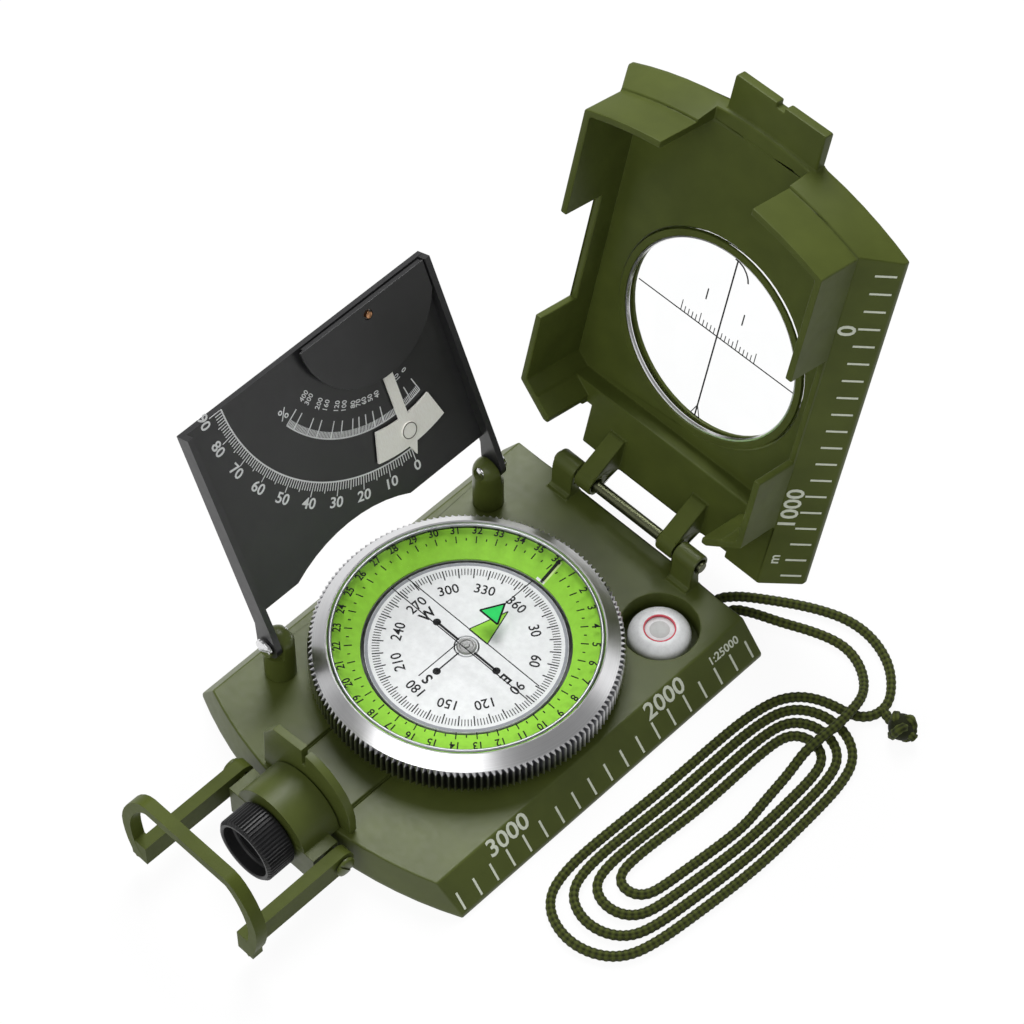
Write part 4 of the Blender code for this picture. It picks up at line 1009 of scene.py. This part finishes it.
def slotted_screw(name, node, axis, outward, material, slot, fill=0.0):
    """A domed head with a slot and its shank, along one axis; fill lengthens the end in its bore."""
    low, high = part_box(node)
    size = high - low
    others = [i for i in range(3) if i != axis]
    radius = size[others[0]] / 2
    head = 0.8 * MM
    length = size[axis]
    dome = [(radius * sin(a), head * 0.55 + head * 0.45 * cos(a)) for a in quarter(6)]
    end = head - length
    profile = dome + [(radius, 0.0), (0.9 * MM, 0.0), (0.9 * MM, end)]
    if fill:
        profile += [(1.15 * MM, end), (1.15 * MM, end - fill), (0.8 * MM, end - fill - 0.25 * MM)]
        end -= fill + 0.3 * MM
    profile.append((0.0, end))
    screw = lathe(name, profile, 40)
    subtract(screw, cutter((-radius * 1.2, -0.24 * MM, head * 0.45), (radius * 1.2, 0.24 * MM, head * 1.5)))
    soften(screw, 0.06 * MM, 1, 40)
    centre = (low + high) / 2
    direction = Vector((0.0, 0.0, 0.0))
    direction[axis] = outward
    base = Vector(centre)
    base[axis] = (high if outward > 0 else low)[axis] - outward * head
    turn = Vector((0.0, 0.0, 1.0)).rotation_difference(direction).to_matrix().to_4x4()
    tilt = Matrix.Rotation(radians(35), 4, "Z")
    settle(screw, Matrix.Translation(base) @ turn @ tilt)
    return dress(screw, material, "base", slot, node)


class COMPASS_OT_posts(bpy.types.Operator):
    """Set up the clinometer's posts and drive the slotted screws"""
    bl_idname = "compass.posts"
    bl_label = "Posts and screws"

    def execute(self, context):
        dark = paint_finish("post_paint", finishes().olive, 0.32)
        chrome = metal_finish("bright_chrome", finishes().silver, 0.14)
        casting("post_front", "front_post", dark, "base", "dark_paint", 0.12 * MM, 0.03 * MM)
        casting("post_rear", "rear_post", dark, "base", "dark_paint", 0.12 * MM, 0.03 * MM)
        slotted_screw("front_post_screw", "clino_screw_front", 1, -1, chrome, "bright_metal", 0.4 * MM)
        slotted_screw("rear_post_screw", "clino_screw_rear", 1, 1, chrome, "bright_metal", 0.4 * MM)
        slotted_screw("left_bail_screw", "bail_screw_left", 0, -1, dark, "dark_paint")
        slotted_screw("right_bail_screw", "bail_screw_right", 0, 1, dark, "dark_paint")
        return {"FINISHED"}


class COMPASS_OT_sight(bpy.types.Operator):
    """Build the prism housing, the sight and the fluted eyepiece"""
    bl_idname = "compass.sight"
    bl_label = "Prism sight"

    def execute(self, context):
        olive = paint_finish("housing_paint", finishes().olive)
        casting("prism_housing", "prism_block", olive, "base", "dark_paint")
        casting("rear_sight", "sight_leaf", olive, "base", "dark_paint", 0.22 * MM)
        keep_node("reading_prism", glass_finish("prism_glass"))
        self.eyepiece()
        return {"FINISHED"}

    def eyepiece(self):
        low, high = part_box("eyepiece_ring")
        centre = Vector(((low.x + high.x) / 2, 0.0, (low.z + high.z) / 2))
        radius = (high.x - low.x) / 2
        front = low.y
        depth = 0.36 * MM
        lip = 0.55 * MM
        length = 6.1 * MM
        tube = 8.8 * MM
        mouth = 5.25 * MM
        seat = -2.4 * MM
        profile = [(4.0 * MM, seat), (mouth - 0.3 * MM, seat), (mouth, seat + 0.3 * MM), (mouth, -0.2 * MM),
                   (mouth + 0.2 * MM, 0.0), (radius - 0.55 * MM, 0.0), (radius, -lip),
                   (radius, -length + 0.4 * MM), (radius - 0.4 * MM, -length), (4.8 * MM, -length),
                   (4.8 * MM, -tube), (4.0 * MM, -tube)]
        flutes = sizes().flutes
        ring = lathe("eyepiece_grip", profile, flutes * 4, True)
        cut_teeth(ring, radius, 0.05 * MM, depth, flutes, 4)
        shade(ring, 25)
        place = Matrix.Translation((centre.x, front, centre.z)) @ Matrix.Rotation(pi / 2, 4, "X")
        settle(ring, place)
        black = print_finish("eyepiece_black", finishes().black, 0.42)
        dress(ring, black, "eyepiece", "black_plastic", "eyepiece_ring")
        keep_node("eyepiece_lens", glass_finish("eyepiece_glass"))


class COMPASS_OT_bail(bpy.types.Operator):
    """Bend the thumb bail"""
    bl_idname = "compass.bail"
    bl_label = "Bail"

    def execute(self, context):
        olive = paint_finish("bail_paint", finishes().olive, 0.40, gloss=0.05)
        casting("bail", "thumb_bail", olive, "bail", "body_paint", 0.25 * MM)
        return {"FINISHED"}


class COMPASS_OT_dial(bpy.types.Operator):
    """Turn the knurled bezel and print its green ring and its glass"""
    bl_idname = "compass.dial"
    bl_label = "Dial"

    def execute(self, context):
        self.bezel()
        self.ring_print()
        self.glass_lines()
        keep_node("scale_ring", print_finish("lime_ring", finishes().lime, 0.7, 0.12))
        keep_node("crystal", glass_finish("crystal_glass", 1.06, 0.2))
        return {"FINISHED"}

    def bezel(self):
        teeth, depth = sizes().knurl_teeth, sizes().knurl_depth
        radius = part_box("bezel_ring")[1].x
        ring = lathe("bezel_knurled", mm(BEZEL_PROFILE), teeth * 2, True)
        # The teeth's sunk points are marked for painted shade in their valleys
        groove = ring.data.attributes.new("groove", "FLOAT", "POINT")
        for i in cut_teeth(ring, radius, 0.35 * MM, depth, teeth, 2):
            groove.data[i].value = 1.0
        shade(ring, 24)
        silver = turned_finish("bezel_silver", finishes().silver, 0.3, True)
        dress(ring, silver, "bezel", "bezel_metal", "bezel_ring")
        bright = turned_finish("bead_chrome", BEAD_GREY, 0.4)
        turned("crystal_bead", mm(BEAD_PROFILE), 160, Matrix.Identity(4), bright, "bezel", "bright_metal",
               "crystal_rim", closed=True, angle=50)

    def ring_print(self):
        ink = print_finish("dial_ink", finishes().ink, 0.7, 0.1)
        level = CRYSTAL_TOP + 0.02 * MM
        surface = Matrix.Translation((0.0, 0.0, level))
        lines = []
        for i in range(2 * DIAL_NUMBERS):
            lines.append(tick(pi * i / DIAL_NUMBERS, *DIAL_TICKS[i % 2]))
        pieces = [bars("dial_print", lines, surface)]
        radius, height = DIAL_FIGURES
        for number in range(1, DIAL_NUMBERS + 1):
            angle = 2 * pi * number / DIAL_NUMBERS
            pieces.append(round_label(str(number), angle, radius, level, height, 0.018, 0.92))
        piece = merge_pieces("dial_print", pieces)
        dress(piece, ink, "bezel", "black_plastic")
        inner, outer = DIAL_EDGE
        slope = Vector((0.0, outer - inner, SCALE_DROP))
        lift = Vector((0.0, inner, SCALE_TOP - SCALE_DROP))
        funnel = plane(lift, (1, 0, 0), Vector((1, 0, 0)).cross(slope))
        # The index: a lighter green bar of painted highlight, a dark bar of painted shadow beside it, and a
        # white tab
        index = bars("dial_index", [stroke(0.42, 0.1, 0.42, 5.2, 0.4)], funnel)
        lit = print_finish("index_light", INDEX_HIGHLIGHT_GREEN, 0.7, 0.12)
        dress(index, lit, "bezel", "green_scale")
        shadow = bars("dial_index_shadow", [stroke(-0.1, 0.1, -0.1, 5.3, 0.6)], funnel)
        dress(shadow, ink, "bezel", "black_plastic")
        tab = bars("dial_index_tab", [stroke(-1.3, 0.3, 0.5, 0.3, 0.5)], funnel)
        dress(tab, print_finish("index_white", finishes().white, 0.5, 0.2), "bezel", "white_plastic")

    def glass_lines(self):
        ink = print_finish("glass_ink", finishes().ink, 0.7, 0.1)
        surface = Matrix.Translation((0.0, 0.0, CRYSTAL_TOP + 0.03 * MM))
        lines = [stroke(-16.2, 1.4, 16.3, 1.4, 0.17), stroke(-16.6, -1.95, 16.7, -1.95, 0.17),
                 stroke(0, 9.5, 0, 16.2, 0.17), stroke(0, -2.3, 0, -11.6, 0.17)]
        arrow = mm([(-2.15, 5.5), (2.15, 5.5), (0.0, 9.5)])
        lines += chain(arrow + arrow[:1], 0.34 * MM)
        piece = bars("glass_lines", lines, surface)
        dress(piece, ink, "bezel", "black_plastic")
        green = print_finish("arrow_green", finishes().arrow_green, 0.7, 0.12)
        under = Matrix.Translation((0.0, 0.0, CRYSTAL_TOP + 0.01 * MM))
        fill = flat_shape("glass_arrow", arrow, under)
        dress(fill, green, "bezel", "green_scale")


class COMPASS_OT_card(bpy.types.Operator):
    """Print the floating card and fit its jewel"""
    bl_idname = "compass.card"
    bl_label = "Card"

    def execute(self, context):
        white = print_finish("card_white", finishes().white, 0.7, 0.12)
        ink = print_finish("card_ink", finishes().ink, 0.7, 0.1)
        steel = print_finish("jewel_grey", HUB_GREY, 0.3)
        keep_node("compass_card", white)
        keep_node("magnet_bar", metal_finish("magnet_steel", finishes().pale_silver, 0.4))
        low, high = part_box("jewel_cap")
        top, deep = Matrix.Translation((0.0, 0.0, high.z)), low.z - high.z
        hub = mm(HUB_PROFILE) + [(1.78 * MM, deep), (0.0, deep)]
        turned("jewel_hub", hub, 48, top, steel, "card", "steel", "jewel_cap", angle=40)
        rise = CARD_TOP - high.z
        collar = [(1.8 * MM, rise + 0.04 * MM), (high.x, rise), (high.x, deep), (1.8 * MM, deep)]
        turned("hub_collar", collar, 48, top, white, "card", "card_print", closed=True, angle=40)
        surface = Matrix.Translation((0.0, 0.0, CARD_TOP))
        lines = []
        for i in range(CARD_TICK_COUNT):
            lines.append(tick(2 * pi * i / CARD_TICK_COUNT, *CARD_TICKS[1 if i % 5 else 0]))
        lines += [stroke(-7.3, 0, -1.9, 0, 0.42), stroke(1.9, 0, 7.3, 0, 0.42)]
        lines.append(stroke(0, -1.9, 0, -7.3, 0.26))
        arrow = mm([(-2.25, 2.85), (2.25, 2.85), (0.0, 10.3)])
        lines += chain(arrow + arrow[:1], 0.2 * MM)
        pieces = [bars("card_print", lines, surface)]
        radius, height = CARD_FIGURES
        for number in range(1, CARD_NUMBERS + 1):
            angle = 2 * pi * number / CARD_NUMBERS
            pieces.append(round_label(str(30 * number), angle, radius, CARD_TOP, height, 0.012, 0.95))
        radius, height = CARD_LETTERS
        reach, dot = CARD_DOTS
        for letter, turn in (("W", 0.75), ("E", 0.25), ("S", 0.5)):
            angle = 2 * pi * turn
            pieces.append(round_label(letter, angle, radius, CARD_TOP, height, 0.03, 0.95))
            spot = Matrix.Translation((sin(angle) * reach * MM, cos(angle) * reach * MM, CARD_TOP))
            pieces.append(disc("dot", dot * MM, spot))
        piece = merge_pieces("card_print", pieces)
        dress(piece, ink, "card", "card_print")
        # Painted shade: a grey ring round the card's edge
        radius, width = CARD_SHADE_RING
        rim = circle_points((0, 0), radius * MM, 0, 2 * pi, 96)
        edge = bars("card_shade_ring", chain(rim, width * MM), surface)
        dress(edge, print_finish("card_shade", CARD_SHADE_GREY, 0.7, 0.1), "card", "card_print")
        lime = print_finish("card_lime", finishes().lime, 0.7, 0.12)
        fill = flat_shape("card_arrow", arrow, Matrix.Translation((0.0, 0.0, CARD_TOP - 0.01 * MM)))
        dress(fill, lime, "card", "green_scale")
        return {"FINISHED"}


class COMPASS_OT_clinometer(bpy.types.Operator):
    """Print the clinometer's scales and hang its pendulum"""
    bl_idname = "compass.clinometer"
    bl_label = "Clinometer"

    def execute(self, context):
        black = paint_finish("clinometer_black", finishes().black, 0.36, 0.06, 0.5)
        casting("clinometer_panel", "clinometer_plate", black, "clinometer", "black_paint", 0.2 * MM)
        casting("pivot_shield", "pivot_cover", black, "clinometer", "black_paint", 0.12 * MM)
        copper = metal_finish("copper_pin", finishes().copper, 0.3)
        casting("pendulum_pin", "pivot_pin", copper, "clinometer", "pin_metal", 0.1 * MM)
        pale = metal_finish("pendulum_steel", finishes().pale_silver, 0.45, (1.0, 6.0, 0.3), 0.05)
        casting("pendulum", "pendulum_blade", pale, "pendulum", "steel", 0.08 * MM)
        white = print_finish("clinometer_print", finishes().white)
        face = CLINO_FRAME @ plane((PANEL_FRONT, PIVOT_Y, PIVOT_Z), (0, 1, 0), (1, 0, 0))
        round_degrees = face @ Matrix.Translation((*DEGREE_CENTRE, 0.0))
        round_percent = face @ Matrix.Translation((*PERCENT_CENTRE, 0.0))
        pieces = [bars("clinometer_scales", self.degree_lines(), round_degrees),
                  bars("percent_scale", self.percent_lines(), round_percent)]
        radius, height = DEGREE_FIGURES
        for number in range(0, 100, 10):
            spot = round_degrees @ self.upright(radians(number), radius)
            pieces.append(lettering(str(number), height * MM, spot, 0.022, 1.08))
        radius, height = PERCENT_FIGURES
        for number in PERCENT_NUMBERS:
            spot = round_percent @ self.radial(self.percent_angle(number), radius)
            pieces.append(lettering(str(number), height * MM, spot, 0.01, 1.0))
        radius, height = PERCENT_SIGN
        level = Matrix.Rotation(PERCENT_SIGN_ANGLE, 4, "Z")
        spot = round_percent @ self.upright(PERCENT_SIGN_ANGLE, radius) @ level
        pieces.append(lettering("%", height * MM, spot, 0.0, 1.0))
        piece = merge_pieces("clinometer_scales", pieces)
        dress(piece, white, "clinometer", "white_plastic")
        self.stud_ring()
        return {"FINISHED"}

    def stud_ring(self):
        """Painted shadow: a dark ring round the pendulum's stud."""
        plate = CLINO_FRAME @ plane((1.56 * MM, PIVOT_Y, PIVOT_Z - 25.6 * MM), (0, 1, 0), (1, 0, 0))
        circle = circle_points((0, 0), 1.5 * MM, 0, 2 * pi, 40)
        # Painted shadow round the stud
        joint = bars("pendulum_stud_shadow", chain(circle, 0.16 * MM), plate)
        dress(joint, print_finish("joint_shadow", STUD_SHADOW_GREY, 0.6), "pendulum", "steel")

    def spoke(self, angle, inner, outer, width):
        out = Vector((-sin(angle), -cos(angle)))
        return (out * inner, out * outer, width)

    def percent_angle(self, number):
        return PERCENT_START + PERCENT_SPREAD * atan(number / 100)

    def degree_lines(self):
        lines = []
        for i in range(91):
            reach = 2.7 if i % 10 == 0 else 2.0 if i % 5 == 0 else 1.6
            lines.append(self.spoke(radians(i), DEGREE_ARC, DEGREE_ARC + reach * MM, 0.16 * MM))
        arc = circle_points((0, 0), DEGREE_ARC, pi, pi * 1.5, 60)
        return lines + chain(arc, 0.28 * MM)

    def percent_lines(self):
        lines = []
        for number in PERCENT_NUMBERS:
            angle = self.percent_angle(number)
            lines.append(self.spoke(angle, PERCENT_ARC - 3.2 * MM, PERCENT_ARC, 0.2 * MM))
        start, end = self.percent_angle(0), self.percent_angle(400)
        for i in range(PERCENT_TICKS + 1):
            angle = start + (end - start) * i / PERCENT_TICKS
            lines.append(self.spoke(angle, PERCENT_ARC - 1.25 * MM, PERCENT_ARC, 0.15 * MM))
        return lines + chain(circle_points((0, 0), PERCENT_ARC, pi + start, pi + end, 60), 0.24 * MM)

    def upright(self, angle, radius):
        """A place whose top points to the pin."""
        return (Matrix.Translation((-sin(angle) * radius * MM, -cos(angle) * radius * MM, 0.0))
                @ Matrix.Rotation(-angle, 4, "Z"))

    def radial(self, angle, radius):
        """A place that is read towards the pin."""
        return self.upright(angle, radius) @ Matrix.Rotation(pi / 2, 4, "Z")


class COMPASS_OT_lid(bpy.types.Operator):
    """Cast the lid and fit its window with the sighting lines"""
    bl_idname = "compass.lid"
    bl_label = "Lid"

    def execute(self, context):
        olive = paint_finish("lid_paint", finishes().olive, gloss=0.11)
        lid = solid_copy("lid_shell", "lid_casting")
        soften(lid, sizes().edge_round, clamp=False)
        dress(lid, olive, "lid", "body_paint", "lid_shell")
        casting("window_ring", "window_bead", olive, "lid", "body_paint", 0.15 * MM)
        bright = metal_finish("window_chrome", finishes().silver, 0.16)
        place = LID_FRAME @ Matrix.Translation((*WINDOW_AXIS, 0.0))
        turned("window_liner", mm(WINDOW_LINER), 96, place, bright, "lid", "bright_metal", closed=True)
        keep_node("window_glass", glass_finish("window_clear"))
        ink = print_finish("window_ink", finishes().ink)
        centre_x, centre_y = WINDOW_CENTRE
        outside = WINDOW_OUTSIDE - 0.06 * MM
        surface = LID_FRAME @ plane((centre_x, centre_y, outside), (1, 0, 0), (0, 0, 1))
        reach = WINDOW_REACH
        lines = [stroke(-reach, 0, reach, 0, 0.22), stroke(0, -reach, 0, reach, 0.3)]
        for i in range(-10, 11):
            x = WINDOW_TICK_STEP * i
            lines.append(stroke(x, 0, x, 1.35 if i % 5 else 2.3, 0.16))
        for x in WINDOW_MARKS:
            lines.append(stroke(x, 5.6, x, 8.0, 0.26))
        notch = mm([(-1.0, -reach), (0.0, 2.4 - reach), (1.0, -reach)])
        lines += chain(notch + notch[:1], 0.18 * MM)
        lines += chain(mm(WINDOW_HOOK), 0.3 * MM)
        piece = bars("window_lines", lines, surface)
        dress(piece, ink, "lid", "black_plastic")
        return {"FINISHED"}


class COMPASS_OT_capsule(bpy.types.Operator):
    """Finish the pieces inside the capsule"""
    bl_idname = "compass.capsule"
    bl_label = "Capsule"

    def execute(self, context):
        keep_node("capsule_cup", print_finish("capsule_white", finishes().white, 0.45))
        steel = metal_finish("inner_steel", finishes().silver, 0.3)
        keep_node("pivot_needle", steel)
        keep_node("bezel_spring_ring", steel)
        return {"FINISHED"}


class COMPASS_OT_stage(bpy.types.Operator):
    """Lay the studio floor and set up the soft light"""
    bl_idname = "compass.stage"
    bl_label = "Stage"

    def execute(self, context):
        choose()
        bpy.ops.mesh.primitive_plane_add(size=FLOOR_SIZE, location=(0.0, 0.0, -0.05 * MM))
        floor = context.object
        floor.name = "studio_floor"
        floor.data.materials.append(self.floor_finish())
        for name, place, size, power in LAMPS:
            self.lamp(name, place, size, power)
        world = context.scene.world or bpy.data.worlds.new("studio")
        context.scene.world = world
        world.use_nodes = True
        background = world.node_tree.nodes["Background"]
        background.inputs["Color"].default_value = (1.0, 1.0, 1.0, 1.0)
        background.inputs["Strength"].default_value = WORLD_LIGHT
        context.scene.view_settings.view_transform = "Standard"
        return {"FINISHED"}

    def floor_finish(self):
        material, tree, shader = new_material("studio_floor")
        dark, light = tint(finishes().floor, 0.995), tint(finishes().floor, 1.005)
        tones(tree, object_noise(tree, 3.0), shader.inputs["Base Color"], dark, light)
        shader.inputs["Roughness"].default_value = 0.9
        glow = tree.nodes.new("ShaderNodeEmission")
        glow.inputs["Color"].default_value = (1.0, 1.0, 1.0, 1.0)
        glow.inputs["Strength"].default_value = FLOOR_GLOW
        path = tree.nodes.new("ShaderNodeLightPath").outputs
        seen = largest(tree, path["Is Camera Ray"], path["Is Glossy Ray"], path["Is Transmission Ray"])
        share = tree.nodes.new("ShaderNodeMath")
        share.operation = "MULTIPLY"
        share.inputs[1].default_value = FLOOR_GLOW_SHARE
        tree.links.new(seen, share.inputs[0])
        mix_surface(tree, share.outputs["Value"], shader.outputs["BSDF"], glow.outputs["Emission"])
        return material

    def lamp(self, name, place, size, power):
        bpy.ops.object.light_add(type="AREA", location=place)
        lamp = bpy.context.object
        lamp.name = name
        lamp.data.size = size
        lamp.data.energy = power
        aim = Vector(LAMP_AIM) - Vector(place)
        lamp.rotation_euler = aim.to_track_quat("-Z", "Y").to_euler()


class COMPASS_PT_panel(bpy.types.Panel):
    """Lists the steps that dress the compass"""
    bl_idname = "COMPASS_PT_panel"
    bl_label = "Geology compass"
    bl_space_type = "VIEW_3D"
    bl_region_type = "UI"
    bl_category = "Compass"

    def draw(self, context):
        for group in (context.scene.compass_sizes, context.scene.compass_finishes):
            for name in group.bl_rna.properties.keys():
                if name not in {"rna_type", "name"}:
                    self.layout.prop(group, name)
        for step in STEPS:
            self.layout.operator(step.bl_idname)


STEPS = (
    COMPASS_OT_camera, COMPASS_OT_lanyard, COMPASS_OT_base, COMPASS_OT_rulers, COMPASS_OT_level,
    COMPASS_OT_posts, COMPASS_OT_sight, COMPASS_OT_bail, COMPASS_OT_dial, COMPASS_OT_card,
    COMPASS_OT_clinometer, COMPASS_OT_lid, COMPASS_OT_capsule, COMPASS_OT_stage,
)
CLASSES = (CompassSizes, CompassFinishes) + STEPS + (COMPASS_PT_panel,)


def register():
    for item in CLASSES:
        bpy.utils.register_class(item)
    bpy.types.Scene.compass_sizes = PointerProperty(type=CompassSizes)
    bpy.types.Scene.compass_finishes = PointerProperty(type=CompassFinishes)


def unregister():
    del bpy.types.Scene.compass_finishes
    del bpy.types.Scene.compass_sizes
    for item in reversed(CLASSES):
        bpy.utils.unregister_class(item)


def main():
    register()
    bpy.ops.compass.camera()
    bpy.ops.compass.lanyard()
    bpy.ops.compass.base()
    bpy.ops.compass.rulers()
    bpy.ops.compass.level()
    bpy.ops.compass.posts()
    bpy.ops.compass.sight()
    bpy.ops.compass.bail()
    bpy.ops.compass.dial()
    bpy.ops.compass.card()
    bpy.ops.compass.clinometer()
    bpy.ops.compass.lid()
    bpy.ops.compass.capsule()
    bpy.ops.compass.stage()


if __name__ == "__main__":
    main()
